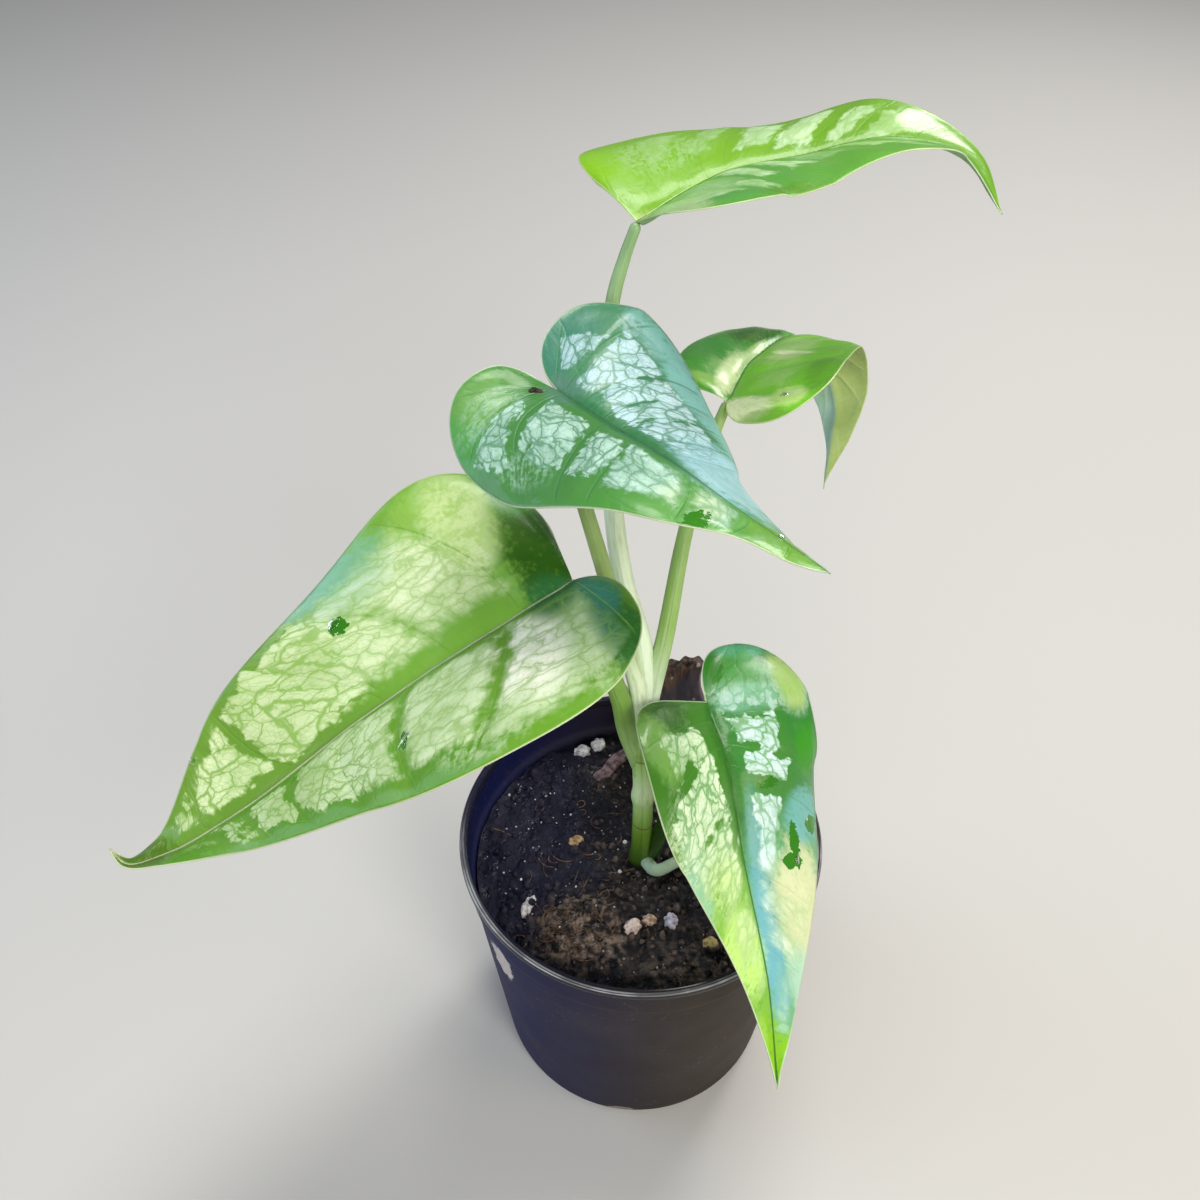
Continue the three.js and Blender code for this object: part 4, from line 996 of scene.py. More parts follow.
# Colours of each stalk: its foot, its upper part, and the streaks and clouds on both.
# turning: the shares of the length between which the foot's colour turns into the upper one
# flecked: share of the length that brown flecks sit round, or 2 for none
stalkLooks = {
    "top": {"colours": ("#dcecd0", "#84a872", "#9cbc80"), "turning": (0.45, 0.85), "flecked": 2.0},
    "middle": {"colours": ("#dcecc8", "#86a05c", "#6c8844"), "turning": (0.15, 0.4), "flecked": 2.0},
    "left": {"colours": ("#a4c880", "#78a044", "#5c8830"), "turning": (0.1, 0.4), "flecked": 0.66},
    "right": {"colours": ("#dcecd4", "#8cb05c", "#72984a"), "turning": (0.1, 0.4), "flecked": 2.0},
    # The front stalk's dark greens are painted shade, for the shade it stands in behind the front blade.
    "front": {"colours": ("#2a4a12", "#284c12", "#1c380c"), "turning": (0.1, 0.4), "flecked": 2.0},
}


# Smooth skin with fine lengthwise streaks, and a colour of its own at the foot, where the stalk clasps the
# others.
def stalkFinish(name):
    look = stalkLooks[name]
    foot, upper, edge = look["colours"]
    s = Finish("stalk_" + name, Coat_Weight=0.15, Coat_Roughness=0.25, Specular_IOR_Level=0.5)
    along, turn, f = s.split(s.kept("rodPlace"))
    streaks = s.clouds(s.join(along * 0.12, turn * 1.6), 1.0, 4)
    here = s.place()
    colour = s.mix(foot, upper, s.eased(f, *look["turning"]))
    colour = s.mix(colour, edge, s.eased(streaks, 0.45, 0.75) * 0.55)
    colour = s.mix(colour, edge, s.eased(s.clouds(here, 7, 2), 0.5, 0.8) * 0.4)
    flecks = s.eased(s.clouds(here, 1.6, 4), 0.62, 0.7) * s.eased(abs(f - look["flecked"]), 0.07, 0.03)
    colour = s.mix(colour, "#6a4a26", flecks * 0.8)
    return s.close(colour, 0.36 + 0.14 * streaks, 0.12 * streaks)


# A stalk's path with its seat as last point: just under the blade, and short of it by about the radius of the
# rounded end.
def seatPath(name):
    spine = bladeSpine(name)
    arrival = spine["places"][0] - np.array(stalks[name]["path"][-1])
    seat = spine["places"][0] - arrival / np.linalg.norm(arrival) * stalkForm["shortOfBlade"]
    seat = seat - spine["normals"][0] * stalkForm["underBlade"]
    return [*stalks[name]["path"], tuple(seat)]


for leafName, stalk in stalks.items():
    points, faces, marks = rodSurface({**stalk, **stalkForm, "path": seatPath(leafName)})
    finishes, replaced = [stalkFinish(leafName)], ["petiole_" + leafName]
    addPiece(leafName + "_stalk", points, faces, finishes, replaced, "stalk_skin", places={"rodPlace": marks})
print("stalks")


# Olive skin with a pale band above the soil, thin brown scars round the nodes and a few brown flecks.
def stemFinish():
    s = Finish("stem_skin", Coat_Weight=0.12, Coat_Roughness=0.3, Specular_IOR_Level=0.5)
    along, turn, _ = s.split(s.kept("rodPlace"))
    here = s.place()
    z = s.split(here)[2]
    upward = s.add("MapRange", None, {"Value": z, "From Min": 60.0, "From Max": 106.0})
    colour = s.add("ValToRGB", {"stops": [
        (0.0, "#1e3208"), (0.1, "#406412"), (0.28, "#74a02c"), (0.45, "#b0dc78"), (0.6, "#dcf2c0"),
        (0.72, "#b4dc8c"), (0.85, "#84ac4c"), (1.0, "#a8cc80"),
    ]}, {0: upward})
    streaks = s.clouds(s.join(along * 0.15, turn * 1.8), 1.0, 4)
    colour = s.mix(colour, "#5c7a30", s.eased(streaks, 0.5, 0.8) * 0.5)
    waver = z + 1.2 * s.clouds(here, 3.0, 2)
    scars = (1 - s.eased(abs(waver - 75.6), 0.1, 0.35)) + (1 - s.eased(abs(waver - 97.6), 0.1, 0.35))
    flecks = s.eased(s.clouds(here, 1.3, 3), 0.66, 0.74)
    colour = s.mix(colour, "#6b5432", s.least(scars * 0.6 + flecks * 0.5, 1.0))
    return s.close(colour, 0.42 + 0.2 * streaks, 0.15 * streaks - 0.1 * scars)


points, faces, marks = rodSurface(stem)
addPiece("main_stem", points, faces, [stemFinish()], ["stem"], "stem_skin", places={"rodPlace": marks})


# Pale green skin with brown stains.
def rootFinish():
    s = Finish("root_skin", Specular_IOR_Level=0.4)
    here = s.place()
    colour = s.mix("#c4dcc0", "#98b494", s.clouds(here, 3, 4))
    colour = s.mix(colour, "#6b6148", s.eased(s.clouds(here, 1.2, 4), 0.6, 0.75) * 0.6)
    return s.close(colour, 0.6 + 0.1 * s.clouds(here, 0.8), 0.2 * s.clouds(here, 1.0, 4))


points, faces, marks = rodSurface(aerialRoot)
uneven = 0.1 * drift(points[:, 0] * 3, points[:, 1] * 3, 2.0, 5)
points = points + unit(points - points.mean(0)) * uneven[:, None]
addPiece("root", points, faces, [rootFinish()], ["aerial_root"], "root_skin", places={"rodPlace": marks})
print("stem and root")


# Pot

pot = {
    "height": 72.6, "rimRadius": 40.2, "footRadius": 33, "wall": 0.9, "floor": 1, "collarHeight": 9.6,
    "collarInset": 0.9, "collarStep": 0.8, "channelHeight": 1.6, "channelInner": 14.5, "channelOuter": 28,
    "drainHoles": 6, "drainHoleRadius": 3, "drainHoleSides": 32, "sides": 144, "cornerCut": 0.22,
    "bulges": (0.0035, 0.0015),
}
collarFoot = pot["height"] - pot["collarHeight"]


# The pot's profile turned about its axis: up the outside, over the lip and down the inside. Cutting the
# corners twice rounds every edge, and the wall bulges a little, more towards the top.
def potSurface():
    top, foot, lip, floor = pot["height"], pot["footRadius"], pot["rimRadius"], pot["floor"]
    collar = lip - pot["collarInset"]
    wallTop = collar - pot["collarStep"]
    innerTop = wallTop - pot["wall"]
    innerCollar = innerTop + pot["collarStep"]
    inner, outer, lift = pot["channelInner"], pot["channelOuter"], pot["channelHeight"]
    profile = np.array([
        (0.4, 0), (inner - 0.8, 0), (inner + 0.8, lift), (outer - 0.8, lift), (outer + 0.8, 0),
        (foot - 1.6, 0), (foot - 0.5, 0.5), (foot, 1.7), (foot + 0.6, 8), (wallTop - 0.4, collarFoot - 6),
        (wallTop, collarFoot - 0.6), (collar - 0.3, collarFoot), (collar - 0.2, collarFoot + 1),
        (collar, top - 3), (collar, top - 2.4), (lip, top - 1.9), (lip, top - 0.7), (lip - 0.45, top),
        (lip - 0.8, top - 0.35), (lip - 1.15, top - 0.35), (lip - 1.5, top - 0.05), (lip - 1.85, top - 0.7),
        (innerCollar, top - 3), (innerCollar - 0.1, collarFoot + 0.5), (innerTop, collarFoot - 0.8),
        (foot - 1.2, 2.6), (foot - 2.2, floor), (outer, floor), (outer - 1.6, lift + floor),
        (inner + 1.6, lift + floor), (inner, floor), (0.4, floor),
    ])
    cut = pot["cornerCut"]
    for _ in range(2):
        a, b = profile[:-1], profile[1:]
        corners = np.stack([a * (1 - cut) + b * cut, a * cut + b * (1 - cut)], 1).reshape(-1, 2)
        profile = np.vstack([profile[:1], corners, profile[-1:]])
    angle = np.linspace(0, 2 * np.pi, pot["sides"], endpoint=False)
    double, triple = pot["bulges"]
    bulge = double * np.cos(2 * angle + 0.6) + triple * np.cos(3 * angle + 2)
    radius = profile[:, :1] * (1 + bulge * share(profile[:, 1:], 10, 72))
    height = profile[:, 1:].repeat(len(angle), 1)
    points = np.stack([radius * np.cos(angle), radius * np.sin(angle), height], -1)
    rows, sides = height.shape
    return np.vstack([points.reshape(-1, 3), (0, 0, 0), (0, 0, floor)]), tubeFaces(rows, sides)


potMarks = {
    "splash": {"at": (-30.6, -22.2, 54), "size": (4.6, 4.6, 7.4), "colour": "#d2c8c6"},
    "smear": {"at": (-4, -33.4, 2), "size": (3.4, 4, 1.6), "colour": "#8a7f78"},
}


# Dark plastic, smoother on the lip, with dust, a dried splash of pale dirt under the rim, a smear at the foot
# and fine scuffs. Its colour is painted bluish on the left for a reflection of blue light and brownish on the
# right for warm light, its inner wall is painted lighter for the light it catches, and two thin pale lines
# along the lip at the front are a painted highlight.
def potFinish():
    s = Finish("pot_plastic", Specular_IOR_Level=0.2)
    here = s.place()
    x, y, z = s.split(here)
    radius = s.maths("SQRT", x * x + y * y)
    top, lip = pot["height"], pot["rimRadius"]
    onLip = s.eased(z, top - 3, top - 1.8)
    # Painted light: bluish on the left for a reflection of blue light, brownish on the right for warm light.
    colour = s.mix("#2c241a", "#101748", s.eased(x, 14, -38))
    colour = s.mix(colour, "#3f3c40", s.eased(s.clouds(here, 26, 3), 0.4, 0.75) * 0.25)
    dust = s.eased(s.clouds(here, 1.1, 5), 0.6, 0.75) * s.eased(s.clouds(here, 14, 2), 0.45, 0.7)
    colour = s.mix(colour, "#77746f", dust * 0.35)
    # Painted light: the inner wall above the soil is lighter, for the light it catches.
    inner = s.eased(radius, lip - 1.8, lip - 3) * s.eased(z, collarFoot - 3, collarFoot)
    colour = s.mix(colour, "#403c46", inner * 0.6)
    colour = s.mix(colour, "#242228", onLip * 0.75)
    # Painted highlight: two thin pale lines along the lip, at the front only.
    lines = (1 - s.eased(abs(abs(radius - (lip - 0.5)) - 0.3), 0.1, 0.3)) * s.eased(z, top - 0.7, top - 0.4)
    lipHighlight = lines * s.eased(y, 10, -26) * (0.5 + 0.9 * s.eased(s.clouds(here, 7, 3), 0.4, 0.65))
    colour = s.mix(colour, "#c2c2c4", s.least(lipHighlight, 1.0) * 0.8)
    marked = 0.0
    for mark in potMarks.values():
        away = s.away((x, y, z), mark["at"], mark["size"]) + 2.4 * (s.clouds(here, 2.2, 5) - 0.5)
        spot = s.eased(away, 0.9, 0.5) * (0.55 + 0.6 * s.clouds(here, 0.8, 4))
        colour = s.mix(colour, mark["colour"], spot)
        marked = spot + marked
    scratches = s.eased(s.clouds(s.join(x * 0.08, y * 0.08, z * 1.4), 1.0, 3), 0.6, 0.8)
    roughness = 0.55 + 0.12 * s.clouds(here, 9, 4) + 0.3 * marked - 0.42 * onLip - 0.05 * scratches
    relief = 0.02 * s.clouds(here, 0.6, 3) + 0.25 * s.clouds(here, 30, 2) + 0.15 * marked
    return s.close(colour, roughness, relief)


# A round plug through the pot's floor at a bearing, which cuts a drain hole.
def drainPlug(bearing):
    sides = pot["drainHoleSides"]
    middle = (pot["channelInner"] + pot["channelOuter"]) / 2
    turn = np.linspace(0, 2 * np.pi, sides, endpoint=False)
    circle = np.stack([middle * math.cos(bearing) + pot["drainHoleRadius"] * np.cos(turn),
                       middle * math.sin(bearing) + pot["drainHoleRadius"] * np.sin(turn)], 1)
    ends = np.concatenate([np.c_[circle, np.full(sides, -2.0)], np.c_[circle, np.full(sides, 5.0)]])
    plug = bpy.data.meshes.new("plug")
    around = [(i, (i + 1) % sides, sides + (i + 1) % sides, sides + i) for i in range(sides)]
    caps = [list(range(sides))[::-1], list(range(sides, 2 * sides))]
    plug.from_pydata((ends * millimetre).tolist(), [], [*around, *caps])
    cutter = bpy.data.objects.new("plug", plug)
    bpy.context.scene.collection.objects.link(cutter)
    return cutter


points, faces = potSurface()
potPiece = addPiece("nursery_pot", points, faces, [potFinish()], ["pot"], "pot_plastic")
cutters = [drainPlug(2 * math.pi * number / pot["drainHoles"]) for number in range(pot["drainHoles"])]
for cutter in cutters:
    hole = potPiece.modifiers.new("drain hole", "BOOLEAN")
    hole.object, hole.operation, hole.solver = cutter, "DIFFERENCE", "EXACT"
bpy.context.view_layer.update()
cutMesh = bpy.data.meshes.new_from_object(potPiece.evaluated_get(bpy.context.evaluated_depsgraph_get()))
potPiece.modifiers.clear()
potPiece.data = cutMesh
for cutter in cutters:
    bpy.data.objects.remove(cutter)
print("pot")


# Soil

soil = {
    "level": 61.6, "underside": 3.1, "lumpHeight": 0.75, "radius": 37.2, "footRadius": 32, "grid": 250,
    "heapAt": (-15, -19), "heapHeight": 1.6, "heapSpread": 90, "strandSpread": 110,
}


# Distance from the middle of the heap.
def fromHeap(x, y):
    return np.hypot(x - soil["heapAt"][0], y - soil["heapAt"][1])


# Height of the soil: slow and quick waves, lower at the wall and heaped at the front left.
def soilLevel(x, y):
    slow = np.sin(0.21 * x + 0.6) * np.cos(0.19 * y - 0.4)
    quick = np.sin(0.62 * x + 0.27 * y) * np.cos(0.55 * y - 0.3 * x + 1)
    heap = soil["heapHeight"] * np.exp(-(fromHeap(x, y) ** 2) / soil["heapSpread"])
    edge = 1.2 * share(np.hypot(x, y), 30, 38)
    return soil["level"] + soil["lumpHeight"] * (slow + 0.6 * quick) + heap - edge


# Height that crumbs of three sizes and fine grit add to the soil, with strands on the heap.
def soilCrumbs(x, y):
    dx, dy = 0.7 * drift(x, y, 2.2, 3), 0.7 * drift(x, y, 2.2, 4)
    heap = np.exp(-(fromHeap(x, y) ** 2) / soil["strandSpread"])
    big = lumps(x + dx, y + dy, 5.2, 21) * (0.5 + 0.5 * drift(x, y, 6, 6))
    mid = lumps(x + dx, y + dy, 2.3, 22) * (0.6 + 0.4 * drift(x, y, 4, 7))
    small = lumps(x + dx, y + dy, 1.0, 23) * (0.7 + 0.3 * drift(x, y, 2, 9))
    strands = 1 - np.abs(drift(x + dx, y * 2.2 + dy, 1.6, 10))
    rough = 1.7 * big + 1.3 * mid + 0.6 * small + 0.18 * drift(x, y, 0.35, 8) - 1.75
    return rough + heap * (0.9 * strands - 0.7 + 0.9 * mid + 0.5 * small)


# A square grid pressed into a disc, ring by ring, with a skirt down the wall to a flat underside.
def soilSurface():
    n = soil["grid"]
    a, b = np.meshgrid(np.linspace(-1, 1, n), np.linspace(-1, 1, n), indexing="ij")
    stretch = np.maximum(np.abs(a), np.abs(b)) / np.maximum(np.hypot(a, b), 1e-9)
    x, y = soil["radius"] * a * stretch, soil["radius"] * b * stretch
    crumbled = soilCrumbs(x, y)
    top = np.stack([x, y, soilLevel(x, y) + crumbled], -1).reshape(-1, 3)
    number = np.arange(n * n).reshape(n, n)
    border = np.r_[number[:-1, 0], number[-1, :-1], number[:0:-1, -1], number[0, :0:-1]]
    count = len(border)
    low = top[border] * (soil["footRadius"] / soil["radius"])
    low[:, 2] = soil["underside"]
    centre = np.array([[0, 0, soil["underside"]]])
    under = n * n + np.arange(count)
    after, underAfter = np.roll(border, -1), np.roll(under, -1)
    wall = [np.stack([border, under, underAfter], 1), np.stack([border, underAfter, after], 1)]
    base = np.stack([np.full(count, n * n + count), underAfter, under], 1)
    faces = np.concatenate([gridFaces(n, n), *wall, base])
    return np.vstack([top, low, centre]), faces, np.r_[crumbled.ravel(), np.zeros(count + 1)]


# Black-brown peat, wet on the left, where its bluish tint is a painted reflection of blue light; lighter on
# the tops of its crumbs and darker between them, which is painted light and shade; and brown on the heap and
# at the front.
def soilFinish(name, brown=0.0):
    s = Finish(name, Specular_IOR_Level=0.4)
    here = s.place()
    x, y, _ = s.split(here)
    grain = s.clouds(here, 1.4, 6)
    # Painted light and shade: the crumbs' height lifts the colour, lighter on their tops and darker between
    # them.
    colour = s.add("ValToRGB", {"stops": [
        (0.0, "#040408"), (0.45, "#0e0c12"), (0.58, "#241e20"), (0.74, "#4c403a"), (1.0, "#a89080"),
    ]}, {0: grain + 0.12 * s.kept("raised", "Fac")})
    heapAway = s.maths("SQRT", (x + 14) * (x + 14) + (y + 20) * (y + 20))
    heap = s.eased(heapAway + 8 * (s.clouds(here, 6, 3) - 0.5), 13, 5)
    crumbly = s.eased(s.clouds(here, 2.2, 5), 0.42, 0.62) * (0.25 + 1.2 * grain)
    colour = s.mix(colour, "#a08a7e", s.least(s.most(heap * 0.9, brown) * crumbly, 1.0))
    # This mask makes the left glossier where it is wet, and paints its bluish tint, a reflection of blue
    # light.
    wet = s.eased(x + 14 * (s.clouds(here, 12, 2) - 0.5), 0, -20) * (1 - heap)
    colour = s.mix(colour, "#08092a", wet * 0.85)
    front = s.eased(y, -14, -30) * s.eased(x, -8, 8)
    colour = s.mix(colour, "#8a7468", front * crumbly * 0.5)
    grit = s.eased(s.cells(here, 1.5), 0.15, 0.08) * s.eased(s.clouds(here, 5, 2), 0.5, 0.6)
    colour = s.mix(colour, "#c9c4cc", grit * 0.7)
    roughness = 0.78 - 0.42 * s.eased(s.clouds(here, 2.6, 4), 0.52, 0.66) * (0.4 + wet)
    return s.close(colour, roughness, 0.5 * s.clouds(here, 0.7, 6))


points, faces, raised = soilSurface()
finish = soilFinish("potting_soil")
addPiece("potting_soil", points, faces, [finish], ["soil"], "soil", places={"raised": raised})


# A ball of unit radius in rings, closed at its poles.
def ball(rings, sides):
    around = np.linspace(0, 2 * np.pi, sides, endpoint=False)
    tilt, angle = np.meshgrid(np.linspace(0, np.pi, rings + 1), around, indexing="ij")
    points = np.stack([np.sin(tilt) * np.cos(angle), np.sin(tilt) * np.sin(angle), np.cos(tilt)], -1)
    points = points.reshape(-1, 3)
    kept, faces = welded(points, gridFaces(rings + 1, sides, True)[:, ::-1])
    return points[kept], faces


# Many lumps in one mesh: copies of a ball, knocked out of round by random waves, squashed, turned and moved.
def scattered(places, sizes, seed, rough=0.18):
    random = np.random.default_rng(seed)
    unitBall, faces = ball(6, 9)
    count = len(places)
    waves = random.normal(size=(count, 3, 3)) * 2.2
    starts = random.uniform(0, 6, (count, 1, 3))
    knocked = 1 + rough * np.sin(np.einsum("nk,ckm->cnm", unitBall, waves) + starts).mean(2)
    turn = random.uniform(0, 2 * np.pi, count)[:, None]
    local = unitBall[None] * knocked[..., None] * np.asarray(sizes)[:, None]
    points = np.stack([*turned(local[..., 0], local[..., 1], turn), local[..., 2]], -1)
    points = points + np.asarray(places)[:, None]
    numbered = faces[None] + np.arange(count)[:, None, None] * len(unitBall)
    return points.reshape(-1, 3), numbered.reshape(-1, 3)


# Random places on the soil, each at the height of its surface.
def onSoil(random, count, reach, lift):
    radius, angle = reach * np.sqrt(random.uniform(0, 1, count)), random.uniform(0, 2 * np.pi, count)
    x, y = radius * np.cos(angle), radius * np.sin(angle)
    return np.stack([x, y, soilLevel(x, y) + soilCrumbs(x, y) + lift], 1)


# Loose crumbs of soil, clear of the stem and larger on the heap.
crumbs = {
    "count": 800, "small": 0.35, "large": 1.25, "moreOnHeap": 0.5, "heapReach": 9, "reach": 35,
    "stemAt": (0.6, 0), "clear": 4.5, "seeds": (31, 32),
}
random = np.random.default_rng(crumbs["seeds"][0])
where = onSoil(random, crumbs["count"], crumbs["reach"], 0.05)
where = where[np.hypot(*(where[:, :2] - crumbs["stemAt"]).T) > crumbs["clear"]]
wide = crumbs["small"] + (crumbs["large"] - crumbs["small"]) * random.uniform(0, 1, len(where)) ** 3
onHeap = fromHeap(*where[:, :2].T) < crumbs["heapReach"]
wide = wide + onHeap * random.uniform(0, crumbs["moreOnHeap"], len(where))
sizes = wide[:, None] * random.uniform(0.6, 1.15, (len(where), 3))
points, faces = scattered(where, sizes, crumbs["seeds"][1], 0.3)
addPiece("soil_crumbs", points, faces, [soilFinish("soil_crumbs", 0.35)], slot="soil",
         places={"raised": np.full(len(points), 0.4)})

# Fibres of coir and root on the heap and here and there.
fibres = {"count": 110, "length": (2.5, 7.5), "radius": (0.07, 0.17), "steps": 9, "sides": 5, "seed": 41}


# Thin tapered rods that bend evenly as they lie on the soil, most of them strewn round the heap.
def fibrePoints():
    random = np.random.default_rng(fibres["seed"])
    count, steps, sides = fibres["count"], fibres["steps"], fibres["sides"]
    onHeap = random.uniform(0, 1, count) < 0.65
    spread = np.where(onHeap, 7.0, 20.0)[:, None]
    start = np.where(onHeap[:, None], [-15.0, -19.5], [-6.0, -2.0])
    start = start + random.normal(size=(count, 2)) * spread * 0.6
    start = start * np.minimum(1, 33 / np.maximum(np.hypot(*start.T), 1))[:, None]
    heading = random.uniform(0, 2 * np.pi, count)[:, None]
    length = random.uniform(*fibres["length"], count)[:, None]
    f = np.linspace(-0.5, 0.5, steps)[None]
    bend = heading + random.normal(size=(count, 1)) * 0.8 * f * 2
    x = start[:, :1] + length * f * np.cos(bend)
    y = start[:, 1:] + length * f * np.sin(bend)
    inward = np.minimum(1, 35.5 / np.maximum(np.hypot(x, y), 1))
    x, y = x * inward, y * inward
    z = (soilLevel(x, y) + soilCrumbs(x, y)).mean(1, keepdims=True) + 0.3
    z = z + random.uniform(0, 0.9, (count, 1)) * (0.5 - 2 * f * f)
    middle = np.stack([x, y, z], -1)
    direction = unit(np.gradient(middle, axis=1))
    sideways = unit(np.cross(direction, [0.0, 0.0, 1.0]))
    upward = np.cross(sideways, direction)
    angle = np.linspace(0, 2 * np.pi, sides, endpoint=False)[:, None]
    ring = sideways[:, :, None] * np.cos(angle) + upward[:, :, None] * np.sin(angle)
    radius = random.uniform(*fibres["radius"], count)[:, None, None, None]
    taper = np.sqrt(np.clip(1.02 - (2 * f[0]) ** 2, 0.02, 1))[None, :, None, None]
    points = (middle[:, :, None] + ring * radius * taper).reshape(count, -1, 3)
    last = sides * (steps - 1)
    one = np.concatenate([
        gridFaces(steps, sides, True)[:, ::-1],
        [(0, i, i + 1) for i in range(1, sides - 1)],
        [(last, last + i + 1, last + i) for i in range(1, sides - 1)],
    ])
    numbered = one[None] + np.arange(count)[:, None, None] * points.shape[1]
    return points.reshape(-1, 3), numbered.reshape(-1, 3)


# A plain finish in two shades, in clouds of a size, with a grainy relief.
def plainFinish(name, light, dark, size, rough=0.75, grit=0.3):
    s = Finish(name, Specular_IOR_Level=0.3)
    here = s.place()
    colour = s.mix(light, dark, s.eased(s.clouds(here, size, 5), 0.35, 0.68))
    return s.close(colour, rough + 0.1 * s.clouds(here, 0.5 * size), grit * s.clouds(here, 0.3 * size, 6))


points, faces = fibrePoints()
addPiece("soil_fibres", points, faces, [plainFinish("coir", "#7d6350", "#3f3028", 1.5)], slot="bark")

# Grains of perlite and pumice: place, half sizes, turn about the vertical, and light and dark colour.
grains = {
    "perlite_back_left": ((-13.5, 30.4), (1.9, 1.6, 1.7), 20, "#f4f3fb", "#b9b8c4"),
    "perlite_back_right": ((-9.4, 33.2), (1.6, 1.9, 1.5), -30, "#f6f5fc", "#c4c3cf"),
    "perlite_left": ((-24.9, -13.2), (1.3, 2.7, 1.3), -24, "#f5f0f2", "#b9adb2"),
    "perlite_front": ((-2, -18.5), (1.9, 1.5, 1.5), 35, "#f0dcd6", "#b59a92"),
    "pumice_front": ((1.9, -16.4), (1.5, 1.2, 1.2), 0, "#e2c3ae", "#94745f"),
    "perlite_right": ((6.6, -16.9), (1.4, 1.8, 1.4), 12, "#e6dfee", "#a196a8"),
    "pumice_right": ((15, -22.5), (1.6, 1.9, 1.4), -40, "#ecd08c", "#ad8a4c"),
    "pumice_left": ((-14.6, 3.9), (1.7, 1.4, 1.4), 15, "#cfae84", "#8a6a48"),
}
grainDepth = 0.35  # share of a grain's height that is sunk in the soil


# A rough grain: a ball knocked out of round by slow waves, then chipped by rounded lumps laid round it.
def grainSurface(place, size, turn, seed):
    points, faces = ball(30, 44)
    px, py, pz = points.T
    outOfRound = 1 + 0.09 * np.sin(5 * px + 7 * py + size[0]) + 0.08 * np.cos(6 * pz - 4 * py + place[0])
    chips = lumps(np.arctan2(py, px) * 2.2 + seed, pz * 2.4, 0.9, seed) * (1 - pz**4)
    fine = drift(px * 3 + seed, py * 3 + pz * 2, 0.7, seed + 50)
    x, y, z = (points * (outOfRound * (0.93 + 0.13 * chips + 0.05 * fine))[:, None] * size).T
    x, y = turned(x, y, math.radians(turn))
    lift = float(soilLevel(*place)) + size[2] * (1 - 2 * grainDepth)
    return np.stack([x + place[0], y + place[1], z + lift], 1), faces


for number, (name, (place, size, turn, light, dark)) in enumerate(grains.items()):
    points, faces = grainSurface(place, size, turn, 61 + number)
    finish = plainFinish(name, light, dark, 0.9, 0.8, 0.35)
    addPiece(name + "_grain", points, faces, [finish], [name], name.split("_")[0])

# Small bits of perlite: the larger ones at their places, the dust anywhere.
perliteDust = {
    "at": [(-30.9, 18.3), (-22, 17.4), (-15.9, 11.5), (-3.2, 3.8), (-4.5, -5), (-26.8, -6.4), (-9.9, -14.4),
           (3.1, -28.3), (-6.5, 29.9), (-9, -21.9), (-18.3, 3.1), (9.5, -26)],
    "size": 0.5, "count": 120, "dust": (0.1, 0.26), "reach": 35, "seeds": (51, 52),
}
random = np.random.default_rng(perliteDust["seeds"][0])
larger = np.array(perliteDust["at"], float)
larger = np.c_[larger, soilLevel(*larger.T) + soilCrumbs(*larger.T) + 0.25]
dust = onSoil(random, perliteDust["count"], perliteDust["reach"], 0.12)
sizes = np.r_[perliteDust["size"] * random.uniform(0.55, 1.2, len(larger)),
              random.uniform(*perliteDust["dust"], len(dust))]
sizes = sizes[:, None] * random.uniform(0.7, 1.1, (len(sizes), 3))
points, faces = scattered(np.vstack([larger, dust]), sizes, perliteDust["seeds"][1])
finish = plainFinish("perlite_bits", "#f2f1f6", "#b4b0bc", 0.6)
addPiece("perlite_bits", points, faces, [finish], slot="perlite")
print("soil")

# Bark

barkStick = {"from": (-10, 20.4), "to": (-2.6, 29.6), "halfWidth": 1.5, "halfHeight": 1.1}
barkChip = {"size": (15, 4.2, 33), "fromAxis": 31.5, "bearing": 75, "footHeight": 56, "lean": 10}


# A bar with a rounded square section, closed at both ends: x along it, and the section's y and z from 1 at
# the middle of each side to the root of its corner, as in a superellipse of power 5.
def barPoints(length, halfWidth, halfHeight, steps, sides):
    angle = np.linspace(0, 2 * np.pi, sides, endpoint=False)
    c, q = np.cos(angle), np.sin(angle)
    reach = (np.abs(c) ** 5 + np.abs(q) ** 5) ** -0.2
    f = np.linspace(0, 1, steps)
    full = np.r_[0, np.sqrt(np.clip(np.minimum(f, f[::-1]) * 30, 0.3, 1)), 0]
    x = np.repeat(((np.r_[0, f, 1] - 0.5) * length)[:, None], sides, 1)
    y = full[:, None] * (halfWidth * c * reach)[None]
    z = full[:, None] * (halfHeight * q * reach)[None]
    points = np.stack([x, y, z], -1).reshape(-1, 3)
    kept, faces = welded(points, gridFaces(steps + 2, sides, True)[:, ::-1])
    return points[kept], faces


# A weathered stick: it narrows to its ends, winds a little, and is grooved along its length.
def stickSurface():
    (x0, y0), (x1, y1) = barkStick["from"], barkStick["to"]
    length = math.hypot(x1 - x0, y1 - y0)
    points, faces = barPoints(length, barkStick["halfWidth"], barkStick["halfHeight"], 70, 56)
    x, y, z = points.T
    narrow = 1 - 0.35 * np.abs(2 * x / length) ** 3
    y, z = y * narrow + 0.25 * np.sin(0.9 * x), z * narrow + 0.2 * np.cos(1.1 * x)
    z = z + 0.22 * drift(x * 0.25, y, 0.45, 71) + 0.12 * drift(x, y, 0.8, 72)
    x, y = turned(x, y, math.atan2(y1 - y0, x1 - x0))
    lift = (float(soilLevel(x0, y0)) + float(soilLevel(x1, y1))) / 2 + 0.7
    return np.stack([x, y, z], 1) + [(x0 + x1) / 2, (y0 + y1) / 2, lift], faces


